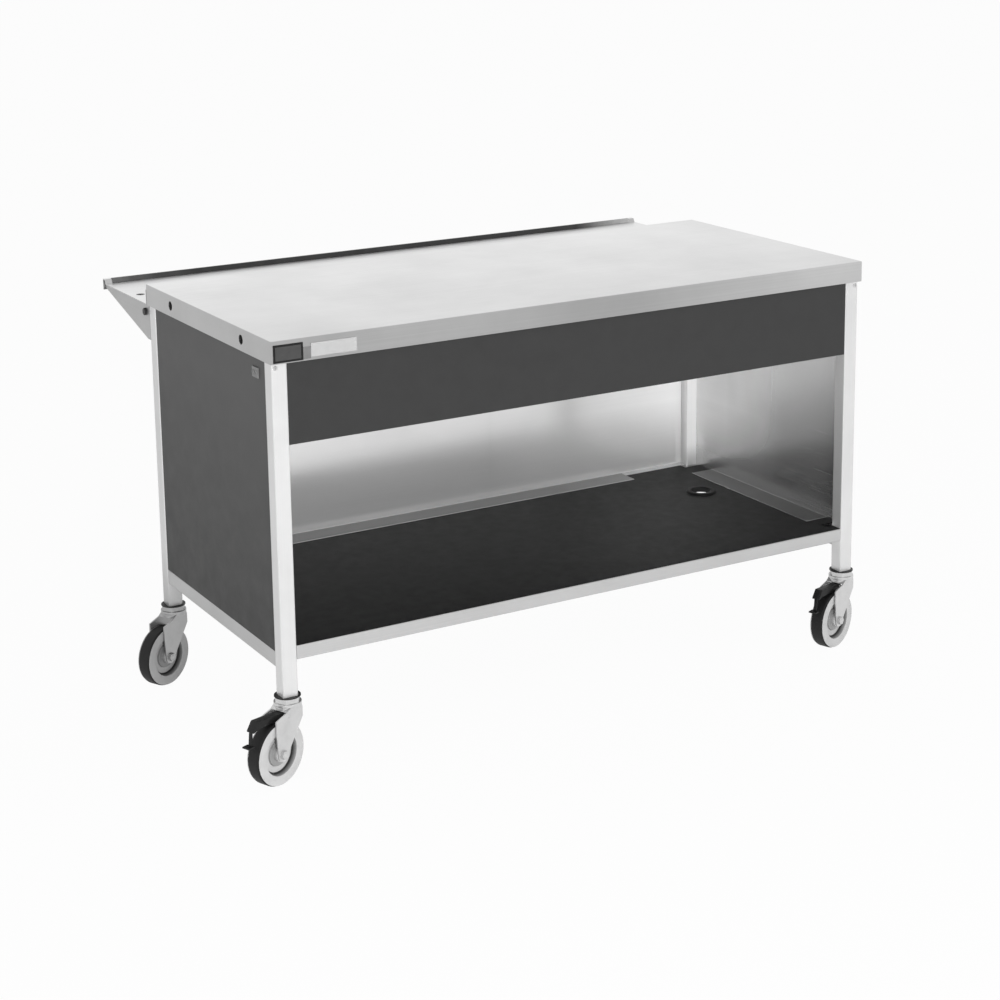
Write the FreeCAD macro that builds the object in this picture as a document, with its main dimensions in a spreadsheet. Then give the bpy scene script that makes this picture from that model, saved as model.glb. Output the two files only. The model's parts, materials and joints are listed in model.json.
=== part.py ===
"""Mobile serving counter: a folded steel work top on a tube frame with casters and a tray slide.

X runs along the counter, +Y points to the customer side with the tray slide, +Z is up. The
origin is on the floor under the middle of the work top. Sizes are millimetres and degrees.
"""
import FreeCAD, Part
import math
import os
import re
import Sketcher

SIZES = {
    # work top: a folded sheet pan, open below
    "top_length": 1382,
    "top_depth": 631,
    "top_height": 864,
    "top_edge": 44,
    "top_sheet": 2,
    "top_round": 3,
    # two holes in the left edge where the next counter is pinned on
    "interlock_spacing": 358,
    "interlock_radius": 9.5,
    "sleeve_wall": 2,
    "sleeve_length": 34,
    # frame of square tube, set back from the edges of the top
    "end_inset": 4,
    "front_inset": 9,
    "back_inset": 4,
    "leg_size": 32,
    "tube_wall": 2,
    "tube_round": 3,
    "top_rail_depth": 25,
    "top_rail_height": 28,
    "top_channel_height": 26,
    "top_channel_width": 70,
    "top_channel_pitch": 330,
    "channel_sheet": 1.5,
    "rail_depth": 25,
    "rail_height": 28,
    "rail_recess": 1,
    "side_rail_height": 32,
    # skins and liners between the legs
    "skin_sheet": 1.5,
    "liner_sheet": 1.5,
    "skin_gap": 0.2,
    "end_recess": 2,
    "back_recess": 4,
    "skin_tuck": 8,
    "liner_foot": 58,
    "end_foot_front": 225,
    "end_foot_back": 215,
    "back_foot_half": 480,
    "apron_drop": 159,
    "apron_recess": 1.5,
    "apron_return": 22,
    "apron_hem": 10,
    # bottom shelf on hat channels that lie across the side rails
    "shelf_height": 267,
    "shelf_sheet": 2,
    "shelf_downturn": 20,
    "notch_gap": 15,
    "shelf_channel_height": 14,
    "shelf_channel_width": 60,
    "shelf_channel_pitch": 190,
    # rubber grommet for a cord, in the shelf
    "grommet_from_end": 124,
    "grommet_off_middle": -11,
    "grommet_radius": 22,
    "grommet_neck": 4,
    "grommet_flange": 9.5,
    "grommet_rise": 4,
    "grommet_tail": 6,
    # tray slide on the customer side
    "slide_depth": 263,
    "slide_drop": 42,
    "slide_sheet": 2,
    "slide_upturn": 30,
    "bead_height": 9,
    "bead_width": 16,
    "bead_slope": 5,
    "slide_hem": 24,
    "tab_depth": 34,
    "tab_height": 36,
    "tab_start": 3,
    "bracket_sheet": 3,
    "bracket_drop": 75,
    "bracket_nose": 8,
    "bracket_foot": 14,
    "bracket_flange": 26,
    "ledge_start": 42,
    "bolt_radius": 4,
    "bolt_head": 8,
    "bolt_head_height": 6,
    "bolt_down": 17,
    "bolt_first": 14,
    "cap_radius": 9,
    "cap_inset": 20,
    "cap_back": 98,
    # small plates and screws
    "keeper_width": 26,
    "keeper_height": 20,
    "keeper_thick": 3,
    "keeper_back": 55,
    "keeper_down": 20,
    "plate_thick": 1,
    "nameplate_width": 60,
    "nameplate_height": 34,
    "nameplate_start": 5,
    "label_width": 94,
    "label_height": 26,
    "label_start": 81,
    "plate_drop": 3,
    "screw_radius": 2,
    "screw_head": 4.5,
    "screw_head_height": 2,
    "screw_length": 8,
    "screw_edge": 6,
    "leg_screw_down": 9,
    "leg_screw_side": 8,
    "slide_screw_up": 16,
    "slide_screw_pitch": 400,
    # casters
    "caster_height": 166,
    "caster_trail": 38,
    "turn_front_left": 23,
    "turn_front_right": 20,
    "turn_back_left": 27,
    "turn_back_right": 22,
    "stem_gap": 0.2,
    "stem_length": 60,
    "collar_radius": 25.5,
    "collar_thick": 10,
    "race_radius": 27,
    "race_thick": 6,
    "swivel_gap": 0.3,
    "crown_radius": 25,
    "crown_thick": 7,
    "king_radius": 6,
    "rivet_radius": 11,
    "rivet_thick": 3,
    "running_gap": 0.1,
    "fork_gap": 2.5,
    "fork_plate": 3,
    "fork_top": 16,
    "fork_nose": 18,
    "fork_nose_drop": 18,
    "fork_tail": 55,
    "fork_tail_drop": 8,
    "fork_eye": 14,
    "wheel_radius": 63.5,
    "wheel_width": 32,
    "tyre_depth": 13,
    "tyre_round": 3,
    "rim_lip": 1.6,
    "rim_step": 2,
    "rim_wall": 8,
    "rim_slope": 2.5,
    "web_half": 5,
    "boss_radius": 25,
    "boss_half": 9,
    "hub_radius": 15,
    "bush_wall": 3,
    "axle_radius": 5,
    "nut_height": 6,
    "nut_radius": 9,
    # brake pedals of the front casters, drawn pressed down
    "brake_width": 18,
    "brake_trail": 20,
    "brake_height": 135.5,
    "brake_pin_radius": 3,
    "brake_barrel": 5.5,
    "brake_shoe_gap": 0.6,
    "brake_shoe_start": 34,
    "brake_shoe_length": 16,
    "brake_arm": 5.5,
    "brake_rise": 4,
    "brake_reach": 92,
    "brake_end": 104,
    "brake_end_drop": 12,
    "toe_width": 7,
    "toe_thick": 3,
    "toe_drop": 40,
    "toe_tab": 14,
    # how far a cutter passes the face that it cuts
    "overshoot": 1,
}

doc = FreeCAD.newDocument("serving_counter")
sheet = doc.addObject("Spreadsheet::Sheet", "Sizes")
for row, (name, value) in enumerate(SIZES.items(), start=1):
    sheet.set(f"A{row}", name)
    sheet.set(f"B{row}", str(value))
    sheet.setAlias(f"B{row}", name)
doc.recompute()

subparts = []


# Helpers that bind features to the sheet

def in_sheet(text):
    """The same sum with every size name pointing at its cell."""
    return re.sub(r"[a-z]\w+", lambda m: "Sizes." + m[0] if m[0] in SIZES else m[0], text)


def bind(feature, **sums):
    for name, text in sums.items():
        feature.setExpression(name.replace("__", "."), in_sheet(text))
    return feature


def place(feature, x="0", y="0", z="0", turn=None):
    bind(feature, Placement__Base__x=x, Placement__Base__y=y, Placement__Base__z=z)
    if turn:
        bind(feature, Placement__Rotation__Angle=turn)
    return feature


def subpart(label, feature):
    feature.Label = label
    subparts.append(feature)
    return feature


def block(x, y, z, name="block"):
    """A box given by its lower and upper faces along each axis."""
    box = doc.addObject("Part::Box", name)
    bind(box, Length=f"({x[1]}) - ({x[0]})", Width=f"({y[1]}) - ({y[0]})", Height=f"({z[1]}) - ({z[0]})")
    return place(box, x[0], y[0], z[0])


# Turns that lay an upright bar along each axis, and the size that a sketch starts from
LYING = {"X": FreeCAD.Rotation(0, 90, 0), "Y": FreeCAD.Rotation(0, 0, -90), "Z": FreeCAD.Rotation()}
ROUGH_SIZE = 100


def rod(radius, x, y, z, length, along="Z"):
    """A cylinder that starts at a point and runs along an axis."""
    cylinder = doc.addObject("Part::Cylinder", "rod")
    bind(cylinder, Radius=radius, Height=length)
    cylinder.Placement.Rotation = LYING[along]
    return place(cylinder, x, y, z)


def hex_rod(radius, x, y, z, length, along="Z"):
    """A hexagon bar, for bolt heads and nuts."""
    prism = doc.addObject("Part::Prism", "hex_rod")
    prism.Polygon = 6
    bind(prism, Circumradius=radius, Height=length)
    prism.Placement.Rotation = LYING[along]
    return place(prism, x, y, z)


def cone(low_radius, high_radius, x, y, z, length):
    """An upright cone that starts at a point and widens upwards."""
    taper = doc.addObject("Part::Cone", "cone")
    bind(taper, Radius1=low_radius, Radius2=high_radius, Height=length)
    return place(taper, x, y, z)


def fuse(*features):
    fused = doc.addObject("Part::MultiFuse", "fuse")
    fused.Shapes = list(features)
    fused.Refine = True
    return fused


def cut(base, *tools):
    result = doc.addObject("Part::Cut", "cut")
    result.Base = base
    result.Tool = tools[0] if len(tools) == 1 else fuse(*tools)
    return result


def group(*features):
    compound = doc.addObject("Part::Compound", "group")
    compound.Links = list(features)
    return compound


def sketch(body, plane, *loops, lift=None):
    """A sketch on one of the body's own planes: each loop is a polygon or a circle."""
    drawing = body.newObject("Sketcher::SketchObject", "outline")
    support = next(f for f in body.Origin.OriginFeatures if f.Role == plane)
    drawing.AttachmentSupport = [(support, "")]
    drawing.MapMode = "FlatFace"
    if lift:
        bind(drawing, AttachmentOffset__Base__z=lift)
    for loop in loops:
        if isinstance(loop, dict):
            draw_circle(drawing, **loop)
        else:
            draw_polygon(drawing, loop)
    return drawing


def fix_point(drawing, item, point, x, y):
    for kind, text in (("DistanceX", x), ("DistanceY", y)):
        number = drawing.addConstraint(Sketcher.Constraint(kind, -1, 1, item, point, 1.0))
        drawing.setExpression(f"Constraints[{number}]", in_sheet(text))


def draw_polygon(drawing, corners):
    count = len(corners)
    first = drawing.GeometryCount
    ring = [FreeCAD.Vector(math.cos(a), math.sin(a), 0) * ROUGH_SIZE
            for a in (2 * math.pi * k / count for k in range(count))]
    for k in range(count):
        drawing.addGeometry(Part.LineSegment(ring[k], ring[(k + 1) % count]))
    for k, (x, y) in enumerate(corners):
        drawing.addConstraint(Sketcher.Constraint("Coincident", first + k, 2, first + (k + 1) % count, 1))
        fix_point(drawing, first + k, 1, x, y)


def draw_circle(drawing, x, y, radius):
    item = drawing.addGeometry(Part.Circle(FreeCAD.Vector(0, 0, 0), FreeCAD.Vector(0, 0, 1), ROUGH_SIZE))
    fix_point(drawing, item, 3, x, y)
    number = drawing.addConstraint(Sketcher.Constraint("Radius", item, ROUGH_SIZE))
    drawing.setExpression(f"Constraints[{number}]", in_sheet(radius))


def new_body(name="body"):
    return doc.addObject("PartDesign::Body", name)


def pad(body, drawing, length, symmetric=False):
    feature = body.newObject("PartDesign::Pad", "pad")
    feature.Profile = drawing
    bind(feature, Length=length)
    if symmetric:
        feature.SideType = "Symmetric"
    return feature


def pocket(body, drawing):
    """Cuts right through the body, both ways from the sketch, and tests that something went."""
    doc.recompute()
    before = body.Shape.Volume
    feature = body.newObject("PartDesign::Pocket", "pocket")
    feature.Profile = drawing
    feature.Type = "ThroughAll"
    feature.SideType = "Symmetric"
    doc.recompute()
    if body.Shape.Volume >= before:
        raise ValueError("a pocket cut nothing: " + body.Label)
    return feature


def revolve(body, drawing):
    """Turns the profile about the sketch's upright axis."""
    feature = body.newObject("PartDesign::Revolution", "turned")
    feature.Profile = drawing
    feature.ReferenceAxis = (drawing, ["V_Axis"])
    feature.Angle = 360
    return feature


def round_edges(body, radius, wanted):
    """Rounds the edges of the body's last feature that the test picks."""
    doc.recompute()
    base = body.Tip
    names = [f"Edge{k}" for k, edge in enumerate(base.Shape.Edges, start=1) if wanted(edge)]
    feature = body.newObject("PartDesign::Fillet", "rounded")
    feature.Base = (base, names)
    bind(feature, Radius=radius)
    return feature


def rectangle(x0, x1, y0, y1):
    return [(x0, y0), (x1, y0), (x1, y1), (x0, y1)]


def tube(across, upright, length, wall="tube_wall"):
    """Square tube lying along its own Z, with its outer corners rounded."""
    body = new_body("tube")
    outer = rectangle("0", across, "0", upright)
    inner = rectangle(wall, f"{across} - {wall}", wall, f"{upright} - {wall}")
    pad(body, sketch(body, "XY_Plane", outer, inner), length)
    doc.recompute()
    middle = body.Shape.BoundBox.Center
    reach = max(abs(v.X - middle.x) for v in body.Shape.Vertexes)

    def outer_corner(edge):
        upright_edge = abs(edge.tangentAt(edge.FirstParameter).z) > 0.99
        return upright_edge and abs(abs(edge.Vertexes[0].X - middle.x) - reach) < 1e-6

    round_edges(body, "tube_round", outer_corner)
    return body


def tube_along_x(x, y, z):
    body = tube(f"({y[1]}) - ({y[0]})", f"({z[1]}) - ({z[0]})", f"({x[1]}) - ({x[0]})")
    body.Placement.Rotation = FreeCAD.Rotation(FreeCAD.Vector(1, 1, 1), 120)
    return place(body, x[0], y[0], z[0])


def tube_along_y(x, y, z):
    body = tube(f"({z[1]}) - ({z[0]})", f"({x[1]}) - ({x[0]})", f"({y[1]}) - ({y[0]})")
    body.Placement.Rotation = FreeCAD.Rotation(FreeCAD.Vector(1, 1, 1), 240)
    return place(body, x[0], y[0], z[0])


# Shared planes: faces of the top, of the legs and of the skins between the legs

TOP_LEFT, TOP_RIGHT = "-top_length / 2", "top_length / 2"
TOP_FRONT, TOP_BACK = "-top_depth / 2", "top_depth / 2"
TOP_LOW = "top_height - top_edge"
UNDER_TOP = "top_height - top_sheet"

LEG_LEFT, LEG_RIGHT = f"{TOP_LEFT} + end_inset", f"{TOP_RIGHT} - end_inset"
LEG_FRONT, LEG_BACK = f"{TOP_FRONT} + front_inset", f"{TOP_BACK} - back_inset"
BAY_LEFT, BAY_RIGHT = f"{LEG_LEFT} + leg_size", f"{LEG_RIGHT} - leg_size"
BAY_FRONT, BAY_BACK = f"{LEG_FRONT} + leg_size", f"{LEG_BACK} - leg_size"

SKIN_LEFT, SKIN_RIGHT = f"{LEG_LEFT} + end_recess", f"{LEG_RIGHT} - end_recess"
SKIN_BACK = f"{LEG_BACK} - back_recess"
LINER_LEFT = f"{SKIN_LEFT} + skin_sheet + liner_sheet"
LINER_RIGHT = f"{SKIN_RIGHT} - skin_sheet - liner_sheet"
LINER_BACK = f"{SKIN_BACK} - skin_sheet - liner_sheet"
SKIN_TOP = f"{TOP_LOW} + skin_tuck"

SHELF_UNDER = "shelf_height - shelf_sheet"
GROMMET_PLACE = (f"{LINER_RIGHT} - grommet_from_end", "shelf_channel_pitch / 2 + grommet_off_middle")
FOOT_HEIGHT = ("shelf_height", "shelf_height + liner_sheet")
SIDE_RAIL_TOP = f"{SHELF_UNDER} - shelf_channel_height"
RAIL_FRONT = f"{LEG_FRONT} + rail_recess"
RAIL_BACK = f"{LEG_BACK} - rail_recess"
RAIL_INNER = f"{RAIL_FRONT} + rail_depth"

SLIDE_TOP = "top_height - slide_drop"
SLIDE_UNDER = f"{SLIDE_TOP} - slide_sheet"
SLIDE_EDGE = f"{TOP_BACK} + slide_depth"

# Where the screws and bolts go

INTERLOCK_ROWS = ("-interlock_spacing / 2", "interlock_spacing / 2")
INTERLOCK_HEIGHT = "top_height - top_edge / 2"
SLIDE_SCREW_ROWS = ("-slide_screw_pitch", "0", "slide_screw_pitch")
SLIDE_SCREW_HEIGHT = f"{SLIDE_TOP} + slide_screw_up"
LEG_SCREW_HEIGHT = f"{TOP_LOW} - leg_screw_down"
LEG_SCREWS = {"front_left": f"{LEG_LEFT} + leg_screw_side", "front_right": f"{LEG_RIGHT} - leg_screw_side"}
KEEPER_BACK = f"{BAY_FRONT} + keeper_back"
KEEPER_TOP = f"{TOP_LOW} - keeper_down"
KEEPER_SCREWS = (f"{KEEPER_BACK} - screw_edge", f"{KEEPER_BACK} - keeper_width + screw_edge")
KEEPER_HEIGHT = f"{KEEPER_TOP} - keeper_height / 2"
BOLT_SPOT = (f"{TOP_BACK} + bolt_first", f"{SLIDE_UNDER} - bolt_down")
CAP_ROWS = (f"{LEG_LEFT} + cap_inset", f"{LEG_RIGHT} - cap_inset")
CAP_BACK = f"{TOP_BACK} + cap_back"


# Work top and the frame under it

def countertop():
    """Folded pan: top sheet, turned-down edges and a return flange at the bottom of each edge."""
    body = new_body("pan")
    pad(body, sketch(body, "XY_Plane", rectangle(TOP_LEFT, TOP_RIGHT, TOP_FRONT, TOP_BACK)), "top_edge")
    doc.recompute()
    high = body.Shape.BoundBox.ZMax
    round_edges(body, "top_round", lambda edge: edge.BoundBox.ZMax > high - 1e-6)
    place(body, z=TOP_LOW)
    inside = block((f"{TOP_LEFT} + top_sheet", f"{TOP_RIGHT} - top_sheet"),
                   (f"{TOP_FRONT} + top_sheet", f"{TOP_BACK} - top_sheet"),
                   (f"{TOP_LOW} + top_sheet", UNDER_TOP))
    mouth = block((f"{LEG_LEFT} - skin_gap", f"{LEG_RIGHT} + skin_gap"),
                  (f"{LEG_FRONT} - skin_gap", f"{LEG_BACK} + skin_gap"),
                  (f"{TOP_LOW} - top_sheet", f"{TOP_LOW} + 2 * top_sheet"))
    holes = [rod("interlock_radius", f"{TOP_LEFT} - top_sheet", row, INTERLOCK_HEIGHT, "3 * top_sheet", "X")
             for row in INTERLOCK_ROWS]
    holes += [rod("screw_radius + running_gap", row, f"{TOP_BACK} - 2 * top_sheet", SLIDE_SCREW_HEIGHT,
                  "3 * top_sheet", "Y") for row in SLIDE_SCREW_ROWS]
    return subpart("countertop", cut(body, inside, mouth, *holes))


def top_frame():
    """Four tubes between the legs, tight under the top sheet, and channels across the long span."""
    height = (f"{UNDER_TOP} - top_rail_height", UNDER_TOP)
    bay = (BAY_LEFT, BAY_RIGHT)
    behind_apron = f"{LEG_FRONT} + apron_recess + skin_sheet"
    front = (behind_apron, f"{behind_apron} + top_rail_depth")
    back = (f"{LINER_BACK} - top_rail_depth", LINER_BACK)
    subpart("top_rail_front", tube_along_x(bay, front, height))
    subpart("top_rail_back", tube_along_x(bay, back, height))
    left = tube_along_y((LINER_LEFT, f"{LINER_LEFT} + top_rail_depth"), (BAY_FRONT, BAY_BACK), height)
    bores = [rod("interlock_radius + sleeve_wall + running_gap", f"{LINER_LEFT} - overshoot", row,
                 INTERLOCK_HEIGHT, "top_rail_depth + 2 * overshoot", "X") for row in INTERLOCK_ROWS]
    subpart("top_rail_left", cut(left, *bores))
    subpart("top_rail_right",
            tube_along_y((f"{LINER_RIGHT} - top_rail_depth", LINER_RIGHT), (BAY_FRONT, BAY_BACK), height))
    channels = [hat_along_y(place_x, (front[1], back[0]), UNDER_TOP)
                for place_x in ("-top_channel_pitch", "0", "top_channel_pitch")]
    subpart("top_channels", group(*channels))


def hat_along_y(middle, y, top):
    """A channel of folded sheet, open below, that stiffens the top from one long rail to the other."""
    half = "top_channel_width / 2"
    low = f"{top} - top_channel_height"
    outer = block((f"{middle} - {half}", f"{middle} + {half}"), y, (low, top))
    inner = block((f"{middle} - {half} + channel_sheet", f"{middle} + {half} - channel_sheet"),
                  (f"{y[0]} - overshoot", f"{y[1]} + overshoot"),
                  (f"{low} - overshoot", f"{top} - channel_sheet"))
    return cut(outer, inner)


def interlock_sleeves():
    """Steel sleeves behind the two holes in the left edge, set in the top rail."""
    start = f"{TOP_LEFT} + top_sheet"
    sleeves = []
    for row in INTERLOCK_ROWS:
        outer = rod("interlock_radius + sleeve_wall", start, row, INTERLOCK_HEIGHT, "sleeve_length", "X")
        bore = rod("interlock_radius", f"{start} - overshoot", row, INTERLOCK_HEIGHT,
                   "sleeve_length + 2 * overshoot", "X")
        sleeves.append(cut(outer, bore))
    subpart("interlock_sleeves", group(*sleeves))


def legs():
    """Square tubes from the casters up to the top sheet. The front two have a screw at the top."""
    corners = {
        "front_left": (LEG_LEFT, LEG_FRONT), "front_right": (BAY_RIGHT, LEG_FRONT),
        "back_left": (LEG_LEFT, BAY_BACK), "back_right": (BAY_RIGHT, BAY_BACK)}
    for corner, (x, y) in corners.items():
        leg = place(tube("leg_size", "leg_size", f"{UNDER_TOP} - caster_height"), x, y, "caster_height")
        if corner in LEG_SCREWS:
            hole = rod("screw_radius + running_gap", LEG_SCREWS[corner], f"{LEG_FRONT} - overshoot",
                       LEG_SCREW_HEIGHT, "tube_wall + 2 * overshoot", "Y")
            leg = cut(leg, hole)
        subpart("leg_" + corner, leg)


# Skins, liners and apron between the legs

def front_apron():
    """Folded sheet under the front edge: face, return at the bottom and a short hem."""
    body = new_body("apron")
    face = f"{LEG_FRONT} + apron_recess"
    back = f"{face} + skin_sheet"
    rear = f"{face} + apron_return"
    low = f"{TOP_LOW} - apron_drop"
    floor = f"{low} + skin_sheet"
    hem = f"{low} + apron_hem"
    outline = [(face, low), (rear, low), (rear, hem), (f"{rear} - skin_sheet", hem),
               (f"{rear} - skin_sheet", floor), (back, floor), (back, SKIN_TOP), (face, SKIN_TOP)]
    pad(body, sketch(body, "YZ_Plane", outline), f"{BAY_RIGHT} - ({BAY_LEFT}) - 2 * skin_gap")
    subpart("front_apron", place(body, x=f"{BAY_LEFT} + skin_gap"))


def end_skins():
    """Dark outer sheet and bright inner liner at each end. The liner is folded in over the shelf."""
    y = (f"{BAY_FRONT} + skin_gap", f"{BAY_BACK} - skin_gap")
    z = (SIDE_RAIL_TOP, SKIN_TOP)
    left_seam = f"{SKIN_LEFT} + skin_sheet"
    right_seam = f"{SKIN_RIGHT} - skin_sheet"
    holes = [rod("screw_radius + running_gap", f"{SKIN_LEFT} - overshoot", row, KEEPER_HEIGHT,
                 "screw_length", "X") for row in KEEPER_SCREWS]
    foot_y = ("-end_foot_front", "end_foot_back")
    left_foot = block((left_seam, f"{LINER_LEFT} + liner_foot"), foot_y, FOOT_HEIGHT)
    right_foot = block((f"{LINER_RIGHT} - liner_foot", right_seam), foot_y, FOOT_HEIGHT)
    subpart("end_panel_left", cut(block((SKIN_LEFT, left_seam), y, z), *holes))
    subpart("end_liner_left", cut(fuse(block((left_seam, LINER_LEFT), y, z), left_foot), *holes))
    subpart("end_panel_right", block((right_seam, SKIN_RIGHT), y, z))
    subpart("end_liner_right", fuse(block((LINER_RIGHT, right_seam), y, z), right_foot))


def back_skins():
    """Dark customer-side sheet and the bright liner that is folded forward over the shelf."""
    x = (f"{BAY_LEFT} + skin_gap", f"{BAY_RIGHT} - skin_gap")
    z = ("shelf_height", SKIN_TOP)
    seam = f"{SKIN_BACK} - skin_sheet"
    subpart("back_panel", block(x, (seam, SKIN_BACK), z))
    foot = block(("-back_foot_half", "back_foot_half"), (f"{LINER_BACK} - liner_foot", seam), FOOT_HEIGHT)
    subpart("back_liner", fuse(block(x, (LINER_BACK, seam), z), foot))


# Bottom shelf and its rails

def bottom_rails():
    long_height = ("shelf_height - rail_height", "shelf_height")
    side_height = (f"{SIDE_RAIL_TOP} - side_rail_height", SIDE_RAIL_TOP)
    subpart("bottom_rail_front", tube_along_x((BAY_LEFT, BAY_RIGHT), (RAIL_FRONT, RAIL_INNER), long_height))
    subpart("bottom_rail_back",
            tube_along_x((BAY_LEFT, BAY_RIGHT), (f"{RAIL_BACK} - rail_depth", RAIL_BACK), long_height))
    subpart("bottom_rail_left",
            tube_along_y((SKIN_LEFT, f"{SKIN_LEFT} + rail_depth"), (BAY_FRONT, BAY_BACK), side_height))
    subpart("bottom_rail_right",
            tube_along_y((f"{SKIN_RIGHT} - rail_depth", SKIN_RIGHT), (BAY_FRONT, BAY_BACK), side_height))


def bottom_shelf():
    """Flat sheet notched round the posts, with its front edge turned down behind the front rail."""
    back_edge = f"{RAIL_BACK} - rail_depth"
    floor = block((LINER_LEFT, LINER_RIGHT), (RAIL_INNER, back_edge), (SHELF_UNDER, "shelf_height"))
    front_turn = block((f"{BAY_LEFT} + notch_gap", f"{BAY_RIGHT} - notch_gap"),
                       (RAIL_INNER, f"{RAIL_INNER} + shelf_sheet"),
                       ("shelf_height - shelf_downturn", "shelf_height"))
    notch_z = (f"{SHELF_UNDER} - overshoot", "shelf_height + overshoot")
    notches = [block(x, y, notch_z)
               for x in ((f"{LINER_LEFT} - overshoot", f"{BAY_LEFT} + notch_gap"),
                         (f"{BAY_RIGHT} - notch_gap", f"{LINER_RIGHT} + overshoot"))
               for y in ((f"{RAIL_INNER} - overshoot", f"{BAY_FRONT} + notch_gap"),
                         (f"{BAY_BACK} - notch_gap", f"{back_edge} + overshoot"))]
    hole = rod("grommet_radius + grommet_neck + running_gap", *GROMMET_PLACE, f"{SHELF_UNDER} - overshoot",
               "shelf_sheet + 2 * overshoot")
    subpart("bottom_shelf", fuse(cut(floor, *notches, hole), front_turn))


def shelf_channels():
    """Hat channels that carry the shelf from side rail to side rail."""
    x = (LINER_LEFT, LINER_RIGHT)
    half = "shelf_channel_width / 2"
    channels = []
    for middle in ("-shelf_channel_pitch", "0", "shelf_channel_pitch"):
        outer = block(x, (f"{middle} - {half}", f"{middle} + {half}"), (SIDE_RAIL_TOP, SHELF_UNDER))
        inner = block((f"{x[0]} - overshoot", f"{x[1]} + overshoot"),
                      (f"{middle} - {half} + channel_sheet", f"{middle} + {half} - channel_sheet"),
                      (f"{SIDE_RAIL_TOP} - overshoot", f"{SHELF_UNDER} - channel_sheet"))
        channels.append(cut(outer, inner))
    subpart("shelf_channels", group(*channels))


def shelf_grommet():
    """Rubber ring with a groove that grips the edge of the cord hole in the shelf."""
    body = new_body("grommet")
    neck = "grommet_radius + grommet_neck"
    flange = f"{neck} + grommet_flange"
    tail = f"{neck} + grommet_flange / 2"
    profile = [("grommet_radius", "-shelf_sheet - grommet_tail"), (tail, "-shelf_sheet - grommet_tail"),
               (tail, "-shelf_sheet"), (neck, "-shelf_sheet"), (neck, "0"), (flange, "0"),
               (f"{flange} - grommet_rise", "grommet_rise"), ("grommet_radius", "grommet_rise")]
    revolve(body, sketch(body, "XZ_Plane", profile))
    subpart("shelf_grommet", place(body, *GROMMET_PLACE, "shelf_height"))


# Tray slide on the customer side

def tray_slide():
    """Folded sheet: upturn screwed to the top's back edge, flat run, raised bead and outer hem."""
    body = new_body("slide")
    bead = f"{SLIDE_EDGE} - bead_width"
    bead_top = f"{SLIDE_TOP} + bead_height"
    wall = f"{SLIDE_EDGE} - slide_sheet"
    upturn = f"{SLIDE_TOP} + slide_upturn"
    upturn_face = f"{TOP_BACK} + slide_sheet"
    hem = f"{bead_top} - slide_hem"
    outline = [(TOP_BACK, SLIDE_UNDER), (f"{bead} + slide_sheet / 2", SLIDE_UNDER),
               (f"{bead} + bead_slope + slide_sheet / 2", f"{bead_top} - slide_sheet"),
               (wall, f"{bead_top} - slide_sheet"), (wall, hem), (SLIDE_EDGE, hem),
               (SLIDE_EDGE, bead_top), (f"{bead} + bead_slope", bead_top), (bead, SLIDE_TOP),
               (upturn_face, SLIDE_TOP), (upturn_face, upturn), (TOP_BACK, upturn)]
    pad(body, sketch(body, "YZ_Plane", outline), "top_length")
    place(body, x=TOP_LEFT)
    tab_y = (f"{TOP_BACK} + tab_start", f"{TOP_BACK} + tab_start + tab_depth")
    tab_z = (f"{SLIDE_UNDER} - tab_height", SLIDE_UNDER)
    inner_left = f"{LEG_LEFT} + bracket_sheet"
    inner_right = f"{LEG_RIGHT} - bracket_sheet"
    tabs = [block((inner_left, f"{inner_left} + slide_sheet"), tab_y, tab_z),
            block((f"{inner_right} - slide_sheet", inner_right), tab_y, tab_z)]
    bolt_starts = (f"{inner_left} - slide_sheet", f"{inner_right} - 2 * slide_sheet")
    holes = [rod("bolt_radius + running_gap", start, *BOLT_SPOT, "3 * slide_sheet", "X")
             for start in bolt_starts]
    holes += [cone("bolt_radius + running_gap", "cap_radius + running_gap", row, CAP_BACK, SLIDE_UNDER,
                   "slide_sheet") for row in CAP_ROWS]
    holes += [rod("screw_radius + running_gap", row, f"{TOP_BACK} - overshoot", SLIDE_SCREW_HEIGHT,
                  "slide_sheet + 2 * overshoot", "Y") for row in SLIDE_SCREW_ROWS]
    subpart("tray_slide", cut(fuse(body, *tabs), *holes))


def slide_bracket(label, outer, inward):
    """Gusset plate level with the leg's outside, with a flange on the leg and a ledge under the slide."""
    body = new_body("gusset")
    nose = f"{SLIDE_EDGE} - 2 * slide_sheet"
    foot = f"{SLIDE_UNDER} - bracket_drop"
    outline = [(LEG_BACK, SLIDE_UNDER), (nose, SLIDE_UNDER), (nose, f"{SLIDE_UNDER} - bracket_nose"),
               (f"{LEG_BACK} + bracket_foot", foot), (LEG_BACK, foot)]
    bore = {"x": BOLT_SPOT[0], "y": BOLT_SPOT[1], "radius": "bolt_radius + running_gap"}
    pad(body, sketch(body, "YZ_Plane", outline, bore), "bracket_sheet")
    near = outer if inward > 0 else f"{outer} - bracket_sheet"
    place(body, x=near)
    far = (outer, f"{outer} + bracket_flange") if inward > 0 else (f"{outer} - bracket_flange", outer)
    flange = block(far, (LEG_BACK, f"{LEG_BACK} + bracket_sheet"), (foot, SLIDE_UNDER))
    ledge_low = f"{SLIDE_UNDER} - bracket_sheet"
    ledge = block(far, (f"{TOP_BACK} + ledge_start", nose), (ledge_low, SLIDE_UNDER))
    hole = rod("bolt_radius + running_gap", CAP_ROWS[0 if inward > 0 else 1], CAP_BACK,
               f"{ledge_low} - overshoot", "bracket_sheet + 2 * overshoot")
    subpart(label, cut(fuse(body, flange, ledge), hole))


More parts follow.
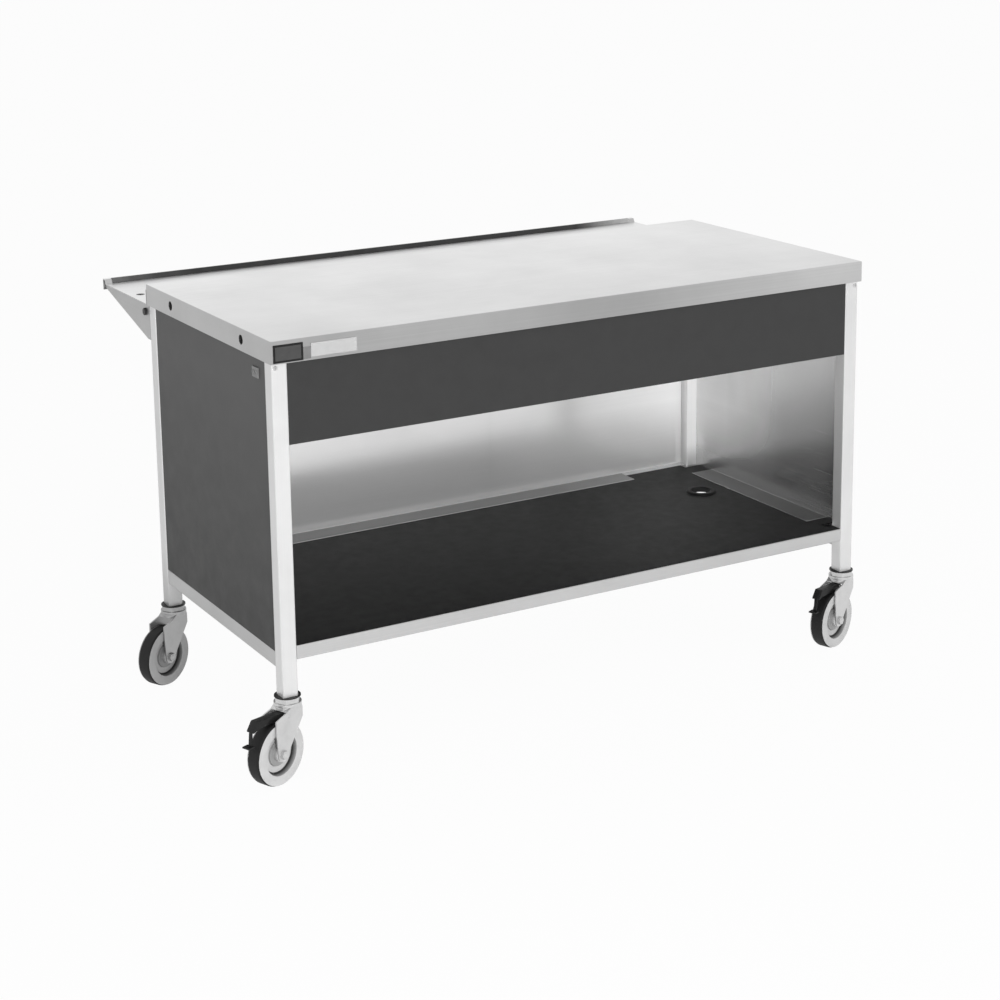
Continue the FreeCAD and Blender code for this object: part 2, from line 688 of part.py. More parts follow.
def slide_bolts():
    """Hexagon bolts through the slide's end tabs and countersunk ones in its run, all with nuts."""
    pieces = []
    grip = "bracket_sheet + slide_sheet"
    reach = f"{grip} + 2 * nut_height"
    thread = ("bolt_radius + running_gap", "nut_height + 2 * overshoot")
    for outer, sign in ((LEG_LEFT, 1), (LEG_RIGHT, -1)):
        head_start = f"{outer} - bolt_head_height" if sign > 0 else outer
        shank_start = outer if sign > 0 else f"{outer} - ({reach})"
        nut_start = f"{outer} + {grip}" if sign > 0 else f"{outer} - ({grip} + nut_height)"
        head = hex_rod("bolt_head", head_start, *BOLT_SPOT, "bolt_head_height", "X")
        shank = rod("bolt_radius", shank_start, *BOLT_SPOT, reach, "X")
        nut = hex_rod("bolt_head", nut_start, *BOLT_SPOT, "nut_height", "X")
        bore = rod(thread[0], f"{nut_start} - overshoot", *BOLT_SPOT, thread[1], "X")
        pieces += [fuse(head, shank), cut(nut, bore)]
    nut_low = f"{SLIDE_TOP} - ({grip} + nut_height)"
    for row in CAP_ROWS:
        cap = cone("bolt_radius", "cap_radius", row, CAP_BACK, SLIDE_UNDER, "slide_sheet")
        shank = rod("bolt_radius", row, CAP_BACK, f"{SLIDE_TOP} - ({reach})", reach)
        nut = hex_rod("bolt_head", row, CAP_BACK, nut_low, "nut_height")
        bore = rod(thread[0], row, CAP_BACK, f"{nut_low} - overshoot", thread[1])
        pieces += [fuse(cap, shank), cut(nut, bore)]
    subpart("slide_bolts", group(*pieces))


# Small plates and screws

def small_plates():
    """Keeper plate on the left end, and two bare plates on the front edge of the top."""
    keeper = block((f"{SKIN_LEFT} - keeper_thick", SKIN_LEFT),
                   (f"{KEEPER_BACK} - keeper_width", KEEPER_BACK),
                   (f"{KEEPER_TOP} - keeper_height", KEEPER_TOP))
    holes = [rod("screw_radius + running_gap", f"{SKIN_LEFT} - 2 * keeper_thick", row, KEEPER_HEIGHT,
                 "3 * keeper_thick", "X") for row in KEEPER_SCREWS]
    subpart("keeper_plate", cut(keeper, *holes))
    face = (f"{TOP_FRONT} - plate_thick", TOP_FRONT)
    for label, size in (("nameplate_blank", "nameplate"), ("label_plate", "label")):
        start = f"{TOP_LEFT} + {size}_start"
        middle = f"{INTERLOCK_HEIGHT} - plate_drop"
        subpart(label, block((start, f"{start} + {size}_width"), face,
                             (f"{middle} - {size}_height / 2", f"{middle} + {size}_height / 2")))


def screw(x, y, z, along, sign):
    """A round-headed screw whose head starts at the point and whose shank runs the way of the sign."""
    point = {"x": x, "y": y, "z": z}
    axis = along.lower()
    head_at, shank_at = dict(point), dict(point)
    if sign > 0:
        head_at[axis] = f"{point[axis]} - screw_head_height"
    else:
        shank_at[axis] = f"{point[axis]} - screw_length"
    head = rod("screw_head", **head_at, length="screw_head_height", along=along)
    return fuse(head, rod("screw_radius", **shank_at, length="screw_length", along=along))


def fixing_screws():
    """Screws of the keeper plate, of the front legs and of the slide's upturn."""
    pieces = [screw(f"{SKIN_LEFT} - keeper_thick", row, KEEPER_HEIGHT, "X", 1) for row in KEEPER_SCREWS]
    pieces += [screw(x, LEG_FRONT, LEG_SCREW_HEIGHT, "Y", 1) for x in LEG_SCREWS.values()]
    pieces += [screw(row, f"{TOP_BACK} + slide_sheet", SLIDE_SCREW_HEIGHT, "Y", -1)
               for row in SLIDE_SCREW_ROWS]
    subpart("fixing_screws", group(*pieces))


# Casters. Each is drawn about its swivel axis with the wheel trailing along +X, then turned.

COLLAR_LOW = "caster_height - collar_thick"
RACE_LOW = f"{COLLAR_LOW} - race_thick"
CROWN_TOP = f"{RACE_LOW} - swivel_gap"
CROWN_LOW = f"{CROWN_TOP} - crown_thick"
FORK_INSIDE = "wheel_width / 2 + fork_gap"
FORK_OUTSIDE = f"{FORK_INSIDE} + fork_plate"
RIM = "wheel_radius - tyre_depth"
BUSH = "axle_radius + running_gap + bush_wall"
HUB_HALF = f"{FORK_INSIDE} - swivel_gap"


def caster_stem():
    """Square plug in the leg tube, hexagon collar under the leg, raceway, king pin and its rivet."""
    half = "(leg_size / 2 - tube_wall - stem_gap)"
    plug = block((f"-{half}", half), (f"-{half}", half), ("caster_height", "caster_height + stem_length"))
    collar = hex_rod("collar_radius", "0", "0", COLLAR_LOW, "collar_thick")
    race = rod("race_radius", "0", "0", RACE_LOW, "race_thick")
    pin = rod("king_radius", "0", "0", f"{CROWN_LOW} - swivel_gap", "crown_thick + 2 * swivel_gap")
    rivet = rod("rivet_radius", "0", "0", f"{CROWN_LOW} - swivel_gap - rivet_thick", "rivet_thick")
    return fuse(plug, collar, race, pin, rivet)


def caster_fork(braked):
    """Pressed steel yoke: round crown under the raceway and two cheeks down to the axle."""
    body = new_body("fork")
    cheek = [("-fork_top", CROWN_TOP), ("-fork_nose", CROWN_LOW),
             ("-fork_nose", f"{CROWN_LOW} - fork_nose_drop"),
             ("caster_trail - fork_eye", "wheel_radius"), ("caster_trail + fork_eye", "wheel_radius"),
             ("fork_tail", f"({CROWN_LOW} + wheel_radius) / 2"),
             ("fork_tail", f"{CROWN_LOW} - fork_tail_drop"),
             ("crown_radius", CROWN_LOW), ("fork_top", CROWN_TOP)]
    width = f"2 * ({FORK_OUTSIDE})"
    pad(body, sketch(body, "XZ_Plane", cheek), width, symmetric=True)
    eye = {"x": "caster_trail", "y": "wheel_radius", "radius": "fork_eye"}
    pad(body, sketch(body, "XZ_Plane", eye), width, symmetric=True)
    pocket(body, sketch(body, "YZ_Plane", rectangle(f"-({FORK_INSIDE})", FORK_INSIDE, "0", CROWN_LOW)))
    pad(body, sketch(body, "XY_Plane", {"x": "0", "y": "0", "radius": "crown_radius"}, lift=CROWN_LOW),
        "crown_thick")
    pocket(body, sketch(body, "XY_Plane", {"x": "0", "y": "0", "radius": "king_radius + running_gap"}))
    pivots = [{"x": "caster_trail", "y": "wheel_radius", "radius": "axle_radius + running_gap"}]
    if braked:
        pivots.append({"x": "brake_trail", "y": "brake_height", "radius": "brake_pin_radius + running_gap"})
    pocket(body, sketch(body, "XZ_Plane", *pivots))
    return body


def caster_bolts(braked):
    """Axle bolt with its nut and, on a braked caster, the pedal's pivot pin."""
    span = f"2 * ({FORK_OUTSIDE})"
    x, z = "caster_trail", "wheel_radius"
    near = f"-({FORK_OUTSIDE})"
    head = hex_rod("nut_radius", x, f"{near} - nut_height", z, "nut_height", "Y")
    shank = rod("axle_radius", x, near, z, f"{span} + nut_height", "Y")
    nut = hex_rod("nut_radius", x, FORK_OUTSIDE, z, "nut_height", "Y")
    thread = rod("axle_radius + running_gap", x, f"{FORK_OUTSIDE} - overshoot", z,
                 "nut_height + 2 * overshoot", "Y")
    pieces = [fuse(head, shank), cut(nut, thread)]
    if braked:
        pieces.append(rod("brake_pin_radius", "brake_trail", near, "brake_height", span, "Y"))
    return group(*pieces)


def on_axle(body):
    """Turns a piece drawn about its own Z to lie along the axle, and sets it at the wheel's middle."""
    body.Placement.Rotation = FreeCAD.Rotation(0, 0, -90)
    return place(body, "caster_trail", "0", "wheel_radius")


def wheel_core():
    """Cast wheel: hub, thin web in a dish, and a rim with lips that hold the tyre."""
    body = new_body("core")
    side = "wheel_width / 2"
    dish = f"{RIM} - rim_wall"
    lip = "wheel_radius - rim_step"
    upper = [(f"{BUSH} + running_gap", HUB_HALF), ("hub_radius", HUB_HALF), ("hub_radius", "boss_half"),
             ("boss_radius", "boss_half"), ("boss_radius", "web_half"), (f"{dish} - rim_slope", "web_half"),
             (dish, side), (lip, side), (lip, f"{side} - rim_lip"), (RIM, f"{side} - rim_lip")]
    lower = [(x, f"-({y})") for x, y in reversed(upper)]
    revolve(body, sketch(body, "XZ_Plane", upper + lower))
    return on_axle(body)


def tyre():
    """Rubber band with rounded shoulders, held between the rim's lips."""
    body = new_body("tyre")
    half = "wheel_width / 2 - rim_lip - running_gap"
    bed = f"{RIM} + running_gap"
    profile = [(bed, f"-({half})"), ("wheel_radius - tyre_round", f"-({half})"),
               ("wheel_radius", f"-({half} - tyre_round)"), ("wheel_radius", f"{half} - tyre_round"),
               ("wheel_radius - tyre_round", half), (bed, half)]
    revolve(body, sketch(body, "XZ_Plane", profile))
    return on_axle(body)


def wheel_bush():
    """Plain bush in the hub, free to turn on the axle."""
    body = new_body("bush")
    profile = rectangle("axle_radius + running_gap", BUSH, f"-({HUB_HALF})", HUB_HALF)
    revolve(body, sketch(body, "XZ_Plane", profile))
    return on_axle(body)


def brake_pedal():
    """Lever on a pin across the fork: barrel, shoe over the tread, arm, and a toe tab on a thin strip."""
    body = new_body("pedal")
    low = "brake_height - brake_barrel"
    high = "brake_height + brake_barrel"
    shoe = "2 * wheel_radius + brake_shoe_gap"
    shoe_end = "brake_shoe_start + brake_shoe_length"
    end_low = f"{high} - brake_end_drop"
    outline = [("brake_trail - brake_barrel", low), ("brake_shoe_start", low), ("brake_shoe_start", shoe),
               (shoe_end, shoe), (f"{shoe_end} + brake_arm", low), ("brake_reach", low),
               ("brake_end", f"{end_low} - brake_arm / 2"), ("brake_end", end_low),
               ("brake_reach", f"{high} + brake_rise"), ("brake_shoe_start", high),
               ("brake_trail - brake_barrel", high)]
    bore = {"x": "brake_trail", "y": "brake_height", "radius": "brake_pin_radius + running_gap"}
    pad(body, sketch(body, "XZ_Plane", outline, bore), "brake_width", symmetric=True)
    toe_low = f"{high} - toe_drop"
    strip = [("brake_end - toe_thick", f"{end_low} - brake_arm / 2"), ("brake_end", toe_low),
             ("brake_end + toe_thick", toe_low), ("brake_end", end_low)]
    pad(body, sketch(body, "XZ_Plane", strip), "toe_width", symmetric=True)
    tab = rectangle("brake_end", "brake_end + toe_tab", f"{toe_low} - toe_thick", toe_low)
    pad(body, sketch(body, "XZ_Plane", tab), "brake_width", symmetric=True)
    return body


def caster(corner, x, y):
    """All pieces of one caster, turned to where it trails and set under its leg."""
    braked = corner.startswith("front")
    pieces = {"caster_stem_": caster_stem(), "caster_fork_": caster_fork(braked),
              "caster_bolts_": caster_bolts(braked), "wheel_core_": group(wheel_core()),
              "wheel_bush_": group(wheel_bush()), "tyre_": group(tyre())}
    if braked:
        pieces["brake_pedal_"] = brake_pedal()
    for prefix, piece in pieces.items():
        turn = None if prefix == "caster_stem_" else f"180 + turn_{corner}"
        subpart(prefix + corner, place(piece, x, y, turn=turn))


countertop()
top_frame()
interlock_sleeves()
legs()
front_apron()
end_skins()
back_skins()
bottom_rails()
bottom_shelf()
shelf_channels()
shelf_grommet()
tray_slide()
slide_bracket("slide_bracket_left", LEG_LEFT, 1)
slide_bracket("slide_bracket_right", LEG_RIGHT, -1)
slide_bolts()
small_plates()
fixing_screws()
AXIS_LEFT, AXIS_RIGHT = f"{LEG_LEFT} + leg_size / 2", f"{LEG_RIGHT} - leg_size / 2"
AXIS_FRONT, AXIS_BACK = f"{LEG_FRONT} + leg_size / 2", f"{LEG_BACK} - leg_size / 2"
caster("front_left", AXIS_LEFT, AXIS_FRONT)
caster("front_right", AXIS_RIGHT, AXIS_FRONT)
caster("back_left", AXIS_LEFT, AXIS_BACK)
caster("back_right", AXIS_RIGHT, AXIS_BACK)

doc.recompute()
failed = [item.Label for item in doc.Objects if "Invalid" in item.State or "Error" in item.State]
failed += [item.Label for item in subparts if item.Shape.isNull() or not item.Shape.isValid()]
if failed:
    raise RuntimeError("failed features: " + ", ".join(failed))

os.makedirs("parts", exist_ok=True)
for item in subparts:
    item.Shape.exportStep(f"parts/{item.Label}.step")
print(len(subparts), "sub-parts written")
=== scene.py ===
"""Mobile serving counter dressed over its CAD frame: brushed steel, dark panels and rolling casters."""
import json
import math

import bmesh
import bpy
from mathutils import Matrix, Vector


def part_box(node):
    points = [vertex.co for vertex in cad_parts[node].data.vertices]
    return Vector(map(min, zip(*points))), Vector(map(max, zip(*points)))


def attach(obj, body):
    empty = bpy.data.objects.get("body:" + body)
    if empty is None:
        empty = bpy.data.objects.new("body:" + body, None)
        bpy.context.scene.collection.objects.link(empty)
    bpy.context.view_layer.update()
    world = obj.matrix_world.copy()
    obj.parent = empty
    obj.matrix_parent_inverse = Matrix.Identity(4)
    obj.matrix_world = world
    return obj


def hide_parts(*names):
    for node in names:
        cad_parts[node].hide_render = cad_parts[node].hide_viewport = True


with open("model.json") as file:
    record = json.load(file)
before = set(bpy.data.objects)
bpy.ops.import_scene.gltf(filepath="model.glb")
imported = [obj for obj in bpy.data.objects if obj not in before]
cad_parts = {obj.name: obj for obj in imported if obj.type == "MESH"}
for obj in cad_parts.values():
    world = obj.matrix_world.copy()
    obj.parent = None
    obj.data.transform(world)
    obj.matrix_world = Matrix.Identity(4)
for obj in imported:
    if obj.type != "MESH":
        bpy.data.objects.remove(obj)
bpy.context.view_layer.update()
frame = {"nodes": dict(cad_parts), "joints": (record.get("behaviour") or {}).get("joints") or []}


# Work top
# A folded stainless pan with turned-down edges, ground along its length with a fine belt.
# It lies on the tube frame. Its upright edges are painted darker than the face, as painted shade, and much
# paler towards the right end, as painted light; the face is painted a little paler towards the back.

def eased(*nodes, edge=0.0005, steps=2, sharp=35):
    """A welded copy of CAD solids with their sharp edges eased.

    Broad faces, and small ones level with them, are shaded flat, so that an eased edge doesn't tilt the
    light on the sheet beside it."""
    shape = bmesh.new()
    for node_name in nodes:
        shape.from_mesh(frame["nodes"][node_name].data)
    bmesh.ops.remove_doubles(shape, verts=shape.verts, dist=WELD)
    bmesh.ops.dissolve_limit(shape, angle_limit=FLAT_TURN, verts=shape.verts, edges=shape.edges)
    edges = [e for e in shape.edges if e.is_manifold and e.calc_face_angle() > math.radians(sharp)]
    bmesh.ops.bevel(shape, geom=edges, offset=edge, segments=steps, profile=0.5, affect="EDGES",
                    clamp_overlap=True)
    broad = {face for face in shape.faces if face.calc_area() > BROAD_FACE}
    for face in shape.faces:
        beside = {other for border in face.edges for other in border.link_faces} & broad
        face.smooth = not any(face.normal.dot(other.normal) > LEVEL for other in beside)
    return shape


def add_piece(name, shape, material, nodes=(), body="counter"):
    """Makes an object of the shape, which rides on a body and stands for the CAD nodes named."""
    mesh = shape
    flat_faces = []
    if isinstance(shape, bmesh.types.BMesh):
        shape.faces.index_update()
        flat_faces = [face.index for face in shape.faces if not face.smooth]
        mesh = bpy.data.meshes.new(name)
        shape.to_mesh(mesh)
        shape.free()
    mesh.name = name
    mesh.materials.clear()
    mesh.materials.append(material)
    mesh.set_sharp_from_angle(angle=SHARP_TURN)
    for index in flat_faces:
        mesh.polygons[index].use_smooth = False
    piece = bpy.data.objects.new(name, mesh)
    bpy.context.scene.collection.objects.link(piece)
    if nodes:
        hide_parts(*nodes)
    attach(piece, body)
    return piece


def wire(tree, kind, output=0, **settings):
    """Adds a node. A setting is a link or a value for a socket, or else a property of the node."""
    made = tree.nodes.new(kind if "Node" in kind else "ShaderNode" + kind)
    for key, value in settings.items():
        if key.startswith("socket"):
            socket = made.inputs[int(key[6:])]
        else:
            socket = made.inputs.get(key.replace("_", " "))
        if socket is None:
            setattr(made, key, value)
        elif isinstance(value, bpy.types.NodeSocket):
            tree.links.new(value, socket)
        else:
            socket.default_value = value
    return made.outputs[output]


def spread(tree, value, low, high, start=0.0, end=1.0):
    """Carries a value from one range to another."""
    return wire(tree, "MapRange", Value=value, From_Min=start, From_Max=end, To_Min=low, To_Max=high)


def sums(tree, operation, first, second):
    """One step of arithmetic on two values."""
    return wire(tree, "Math", operation=operation, socket0=first, socket1=second)


def fade(tree, tone, axis, start, end, first, last):
    """Multiplies a tone by a factor that changes along one axis of the counter."""
    spot = wire(tree, "SeparateXYZ", axis, Vector=wire(tree, "TexCoord", 3))
    return sums(tree, "MULTIPLY", tone, spread(tree, spot, first, last, start, end))


def new_group(name, inputs, outputs):
    """An empty shader group with its sockets, and the nodes at its two ends."""
    tree = bpy.data.node_groups.new(name, "ShaderNodeTree")
    for label, (kind, value) in inputs.items():
        tree.interface.new_socket(label, in_out="INPUT", socket_type=kind).default_value = value
    for label in outputs:
        tree.interface.new_socket(label, in_out="OUTPUT", socket_type="NodeSocketFloat")
    return tree, tree.nodes.new("NodeGroupInput").outputs, tree.nodes.new("NodeGroupOutput").inputs


def use_group(tree, group, **values):
    """Places a group in a material and gives its outputs."""
    made = tree.nodes.new("ShaderNodeGroup")
    made.node_tree = group
    for label, value in values.items():
        made.inputs[label].default_value = value
    return made.outputs


def new_material(name, slot):
    """A material with its Principled shader, tied to the record's slot."""
    material = bpy.data.materials.new(name)
    material.use_nodes = True
    material["slot"] = slot
    return material, material.node_tree, material.node_tree.nodes["Principled BSDF"].inputs


def brushed_grain():
    """Long streaks of a belt-ground sheet, and the softer marks of handling over them."""
    tree, given, out = new_group(
        "brushed grain",
        {"Stretch": ("NodeSocketVector", (3, 500, 500)), "Marks": ("NodeSocketFloat", 5.0)},
        ("Streak", "Smudge", "Scratch"))
    place = wire(tree, "TexCoord", 3)
    along = wire(tree, "Mapping", Vector=place, Scale=given["Stretch"])
    streak = wire(tree, "TexNoise", Vector=along, Scale=1.0, Detail=5.0, Roughness=0.65)
    tree.links.new(spread(tree, streak, 0, 1, 0.25, 0.75), out["Streak"])
    smudge = wire(tree, "TexNoise", Vector=place, Scale=given["Marks"], Detail=4.0, Roughness=0.6)
    tree.links.new(spread(tree, smudge, 0, 1, 0.3, 0.7), out["Smudge"])
    scratch = wire(tree, "TexNoise", Vector=along, Scale=0.23, Detail=2.0, Roughness=0.5)
    tree.links.new(spread(tree, scratch, 0, 1, 0.62, 0.72), out["Scratch"])
    return tree


def steel(name, slot, face, side, stretch, depth=0.06, marks=5.0, metal=1.0, bump=0.00003,
          face_fades=(), side_fades=(), light_pool=(), lean=0.0):
    """Brushed stainless. Faces that look up and upright sides each have a tone, a roughness and fades;
    where their tones differ, that is painted light and shade by the way a face looks.

    The pool of painted light is a list of fades that say where the steel is painted paler and less
    metallic.
    The lean is how far a thin sheet falls back for each metre that it rises."""
    material, tree, shader = new_material(name, slot)
    grain = use_group(tree, BRUSHED, Stretch=stretch, Marks=marks)
    looking = wire(tree, "SeparateXYZ", 2, Vector=wire(tree, "NewGeometry", 1))
    looks_up = spread(tree, looking, 0, 1, 0.7, 0.95)
    face_tone, side_tone = face[0], side[0]
    for change in face_fades:
        face_tone = fade(tree, face_tone, *change)
    for change in side_fades:
        side_tone = fade(tree, side_tone, *change)
    # Painted light and shade: upward faces and upright sides take separate tones, by the way each face
    # looks.
    tone = spread(tree, looks_up, side_tone, face_tone)
    tone = sums(tree, "MULTIPLY", tone, spread(tree, grain["Streak"], 1 - depth, 1 + depth))
    tone = sums(tree, "MULTIPLY", tone, spread(tree, grain["Smudge"], 1.03, 0.95))
    shader["Metallic"].default_value = metal
    # Painted light: where the pool's fades reach, the steel is made paler and less metallic.
    if light_pool:
        pooled = 1.0
        for change in light_pool:
            pooled = fade(tree, pooled, *change)
        tree.links.new(spread(tree, pooled, metal, 0), shader["Metallic"])
        tone = sums(tree, "MULTIPLY", tone, spread(tree, pooled, 1, POOL_LIFT))
    tree.links.new(wire(tree, "CombineColor", Red=tone, Green=tone, Blue=tone), shader["Base Color"])
    gloss = sums(tree, "ADD", spread(tree, looks_up, side[1], face[1]),
                 spread(tree, grain["Streak"], -0.04, 0.04))
    gloss = sums(tree, "ADD", gloss, spread(tree, grain["Smudge"], -0.02, 0.04))
    tree.links.new(gloss, shader["Roughness"])
    cut = sums(tree, "SUBTRACT", grain["Streak"], spread(tree, grain["Scratch"], 0, 0.5))
    normal = wire(tree, "Bump", Strength=0.3, Distance=bump, Height=cut)
    if lean:
        rise = wire(tree, "SeparateXYZ", 2, Vector=wire(tree, "TexCoord", 3))
        normal = wire(tree, "Bump", invert=True, Strength=1.0, Distance=lean, Height=rise, Normal=normal)
    tree.links.new(normal, shader["Normal"])
    return material


WELD, BROAD_FACE, LEVEL = 2e-6, 0.002, 0.99999
FLAT_TURN, SHARP_TURN = math.radians(0.5), math.radians(32)
BRUSHED = brushed_grain()
POOL_LIFT = 1.28
ALONG, ACROSS, UPWARD = (2, 420, 420), (420, 2, 420), (420, 420, 2)
TOP_STEEL = steel("brushed top steel", "stainless_top", (0.71, 0.38), (0.455, 0.42), ALONG,
                  face_fades=[(1, -0.3, 0.3, 0.98, 1.10)],
                  side_fades=[(0, -0.3, 0, 1.04, 0.925), (0, 0.1, 0.66, 0.98, 1.43)])
add_piece("work_top", eased("countertop", edge=0.0004), TOP_STEEL, ["countertop"])


# Interlock sleeves
# Turned steel tubes behind the two holes in the left edge, welded into the top rail.

def paint_mottle():
    """Uneven tone and the fine skin of a sprayed or moulded surface."""
    tree, given, out = new_group(
        "paint mottle", {"Patch": ("NodeSocketFloat", 14.0), "Skin": ("NodeSocketFloat", 700.0)},
        ("Patch", "Skin"))
    place = wire(tree, "TexCoord", 3)
    patch = wire(tree, "TexNoise", Vector=place, Scale=given["Patch"], Detail=6.0, Roughness=0.62)
    tree.links.new(spread(tree, patch, 0, 1, 0.3, 0.7), out["Patch"])
    tree.links.new(wire(tree, "TexNoise", Vector=place, Scale=given["Skin"], Detail=2.0), out["Skin"])
    return tree


def coated(name, slot, tone, rough, patch=14.0, skin=700.0, depth=0.2, bump=0.00006, metal=0.0, shine=0.5,
           fades=(), painted_shade=""):
    """Paint, plating or rubber: patchy tone, uneven gloss, a fine skin, and painted shade where it is
    marked.
    """
    material, tree, shader = new_material(name, slot)
    marks = use_group(tree, MOTTLE, Patch=patch, Skin=skin)
    factor = spread(tree, marks["Patch"], 1 - depth, 1 + depth)
    for change in fades:
        factor = fade(tree, factor, *change)
    if painted_shade:
        shaded = wire(tree, "Attribute", 2, attribute_name=painted_shade)
        factor = sums(tree, "MULTIPLY", factor, spread(tree, shaded, 1, SHADE_TONE))
    parts = {}
    for channel, amount in zip(("Red", "Green", "Blue"), tone):
        parts[channel] = sums(tree, "MULTIPLY", factor, amount)
    tree.links.new(wire(tree, "CombineColor", **parts), shader["Base Color"])
    shader["Metallic"].default_value = metal
    shader["Specular IOR Level"].default_value = shine
    tree.links.new(spread(tree, marks["Patch"], rough - 0.05, rough + 0.07), shader["Roughness"])
    tree.links.new(wire(tree, "Bump", Strength=0.5, Distance=bump, Height=marks["Skin"]), shader["Normal"])
    return material


def grey(level):
    return (level, level, level)


MOTTLE = paint_mottle()
SHADE_TONE = 0.03
DARK_BOLT = coated("oxide black", "dark_bolt", grey(0.035), 0.45, patch=60, metal=0.3, shine=0.3)
add_piece("interlock_sleeve_pair", eased("interlock_sleeves", edge=0.0003), DARK_BOLT,
          ["interlock_sleeves"])


# Legs and frame tubes
# Square stainless tube with rounded corners, welded into a frame and satin-polished over the welds.
# The grain runs up the legs and along the rails. The back legs are painted darker towards their feet, as
# painted shade. The back right leg is painted paler and less metallic where it faces the bay above the
# shelf, as painted light. The rail tops are painted paler than the rail sides, as painted light.

LEG_STEEL = steel("satin leg steel", "stainless_frame", (0.7, 0.4), (0.7, 0.4), UPWARD, 0.03, metal=0.55)
BACK_LEG_STEEL = steel("satin back leg steel", "stainless_frame", (0.7, 0.4), (0.7, 0.4), UPWARD, 0.03,
                       metal=0.55, side_fades=[(2, 0.16, 0.3, 0.62, 1)])
BAY_LIT_LEG_STEEL = steel("back leg steel with painted light", "stainless_frame", (0.7, 0.4), (0.7, 0.4), UPWARD, 0.03,
                          metal=0.55, side_fades=[(2, 0.16, 0.3, 0.62, 1)],
                          light_pool=[(1, 0.285, 0.297, 1, 0), (2, 0.26, 0.32, 0, 1)])
RAIL_STEEL = steel("satin rail steel", "stainless_frame", (0.85, 0.36), (0.52, 0.4), ALONG, 0.05, metal=0.6)
SIDE_STEEL = steel("satin side rail steel", "stainless_frame", (0.6, 0.4), (0.48, 0.42), ACROSS, 0.05,
                   metal=0.7)
leg_finish = {"front_left": LEG_STEEL, "front_right": LEG_STEEL, "back_left": BACK_LEG_STEEL,
              "back_right": BAY_LIT_LEG_STEEL}
for corner, material in leg_finish.items():
    add_piece("post_" + corner, eased("leg_" + corner, edge=0.0003), material, ["leg_" + corner])
for side in ("front", "back", "left", "right"):
    material = RAIL_STEEL if side in ("front", "back") else SIDE_STEEL
    for height in ("top", "bottom"):
        node_name = f"{height}_rail_{side}"
        add_piece("tube_" + node_name, eased(node_name, edge=0.0003), material, [node_name])


# Stiffening channels
# Folded channels welded under the top and under the shelf, left as rolled because nobody sees them.

CHANNEL_STEEL = steel("rolled channel steel", "stainless_frame", (0.5, 0.5), (0.5, 0.5), ACROSS, 0.1)
for node_name in ("top_channels", "shelf_channels"):
    add_piece("folded_" + node_name, eased(node_name, edge=0.0003), CHANNEL_STEEL, [node_name])


# Dark panels and apron
# Sheet steel with a baked dark finish: the ends, the customer side and the apron under the top.
# Each panel is sprung in between the legs, so no screw shows on its face.

# Painted shade: the panel finish is darker towards the bottom.
PANEL_PAINT = coated("dark panel finish", "dark_panel", grey(0.076), 0.5, patch=26, skin=900, depth=0.1,
                     shine=0.25, fades=[(2, 0.27, 0.75, 0.46, 1.10)])
# Painted shade: the apron takes a much darker tone than the panels, for the shade under the top.
APRON_PAINT = coated("dark apron finish with painted shade", "dark_panel", grey(0.025), 0.5, patch=26, skin=900, depth=0.12,
                     shine=0.4)
for node_name in ("end_panel_left", "end_panel_right", "back_panel"):
    add_piece("skin_" + node_name, eased(node_name, edge=0.0003), PANEL_PAINT, [node_name])
add_piece("skin_front_apron", eased("front_apron", edge=0.0005), APRON_PAINT, ["front_apron"])


# Liners
# Bright stainless sheets inside the bay, folded forward over the shelf at the bottom.
# They mirror the floor in front softly above and the dark shelf below. Towards the back right corner the
# steel is painted paler and less metallic, as a painted pool of light, which is weaker lower down. The foot
# folded over the shelf is painted darker than the upright sheet, as painted shade.

POOL_ALONG_BACK, POOL_ALONG_END = (0, 0.12, 0.62, 0, 0.9), (1, -0.06, 0.16, 0, 1)
ROLLED = (3, 3, 380)
BACK_LINER = steel("back liner steel", "stainless_liner", (0.45, 0.5), (0.77, 0.17), ROLLED, 0.02,
                   marks=2.0, metal=0.7, bump=0.000003, light_pool=[POOL_ALONG_BACK, (2, 0.29, 0.43, 0.3, 1)],
                   lean=0.044)
END_LINER = steel("end liner steel", "stainless_liner", (0.28, 0.5), (0.7, 0.24), ROLLED, 0.02,
                  marks=2.0, metal=0.9, bump=0.000003, light_pool=[POOL_ALONG_END, (2, 0.28, 0.44, 0, 1)])
add_piece("bay_back_liner", eased("back_liner", edge=0.0006, steps=3), BACK_LINER, ["back_liner"])
for node_name in ("end_liner_left", "end_liner_right"):
    add_piece("bay_" + node_name, eased(node_name, edge=0.0006, steps=3), END_LINER, [node_name])


# Bottom shelf
# One sheet with a dark satin finish and a patchy tone, notched round the posts, painted darker towards the
# front and the left end as painted shade.
# A thin lip in the same finish covers the joint at the front, as far as the front edge of the rail.

def slab(low, high):
    """A plain box between two corners with slightly eased edges."""
    shape = bmesh.new()
    bmesh.ops.create_cube(shape, size=1)
    bmesh.ops.scale(shape, vec=high - low, verts=shape.verts)
    bmesh.ops.translate(shape, vec=(low + high) / 2, verts=shape.verts)
    bmesh.ops.bevel(shape, geom=shape.edges[:], offset=SLAB_EDGE, segments=2, profile=0.5, affect="EDGES")
    return shape


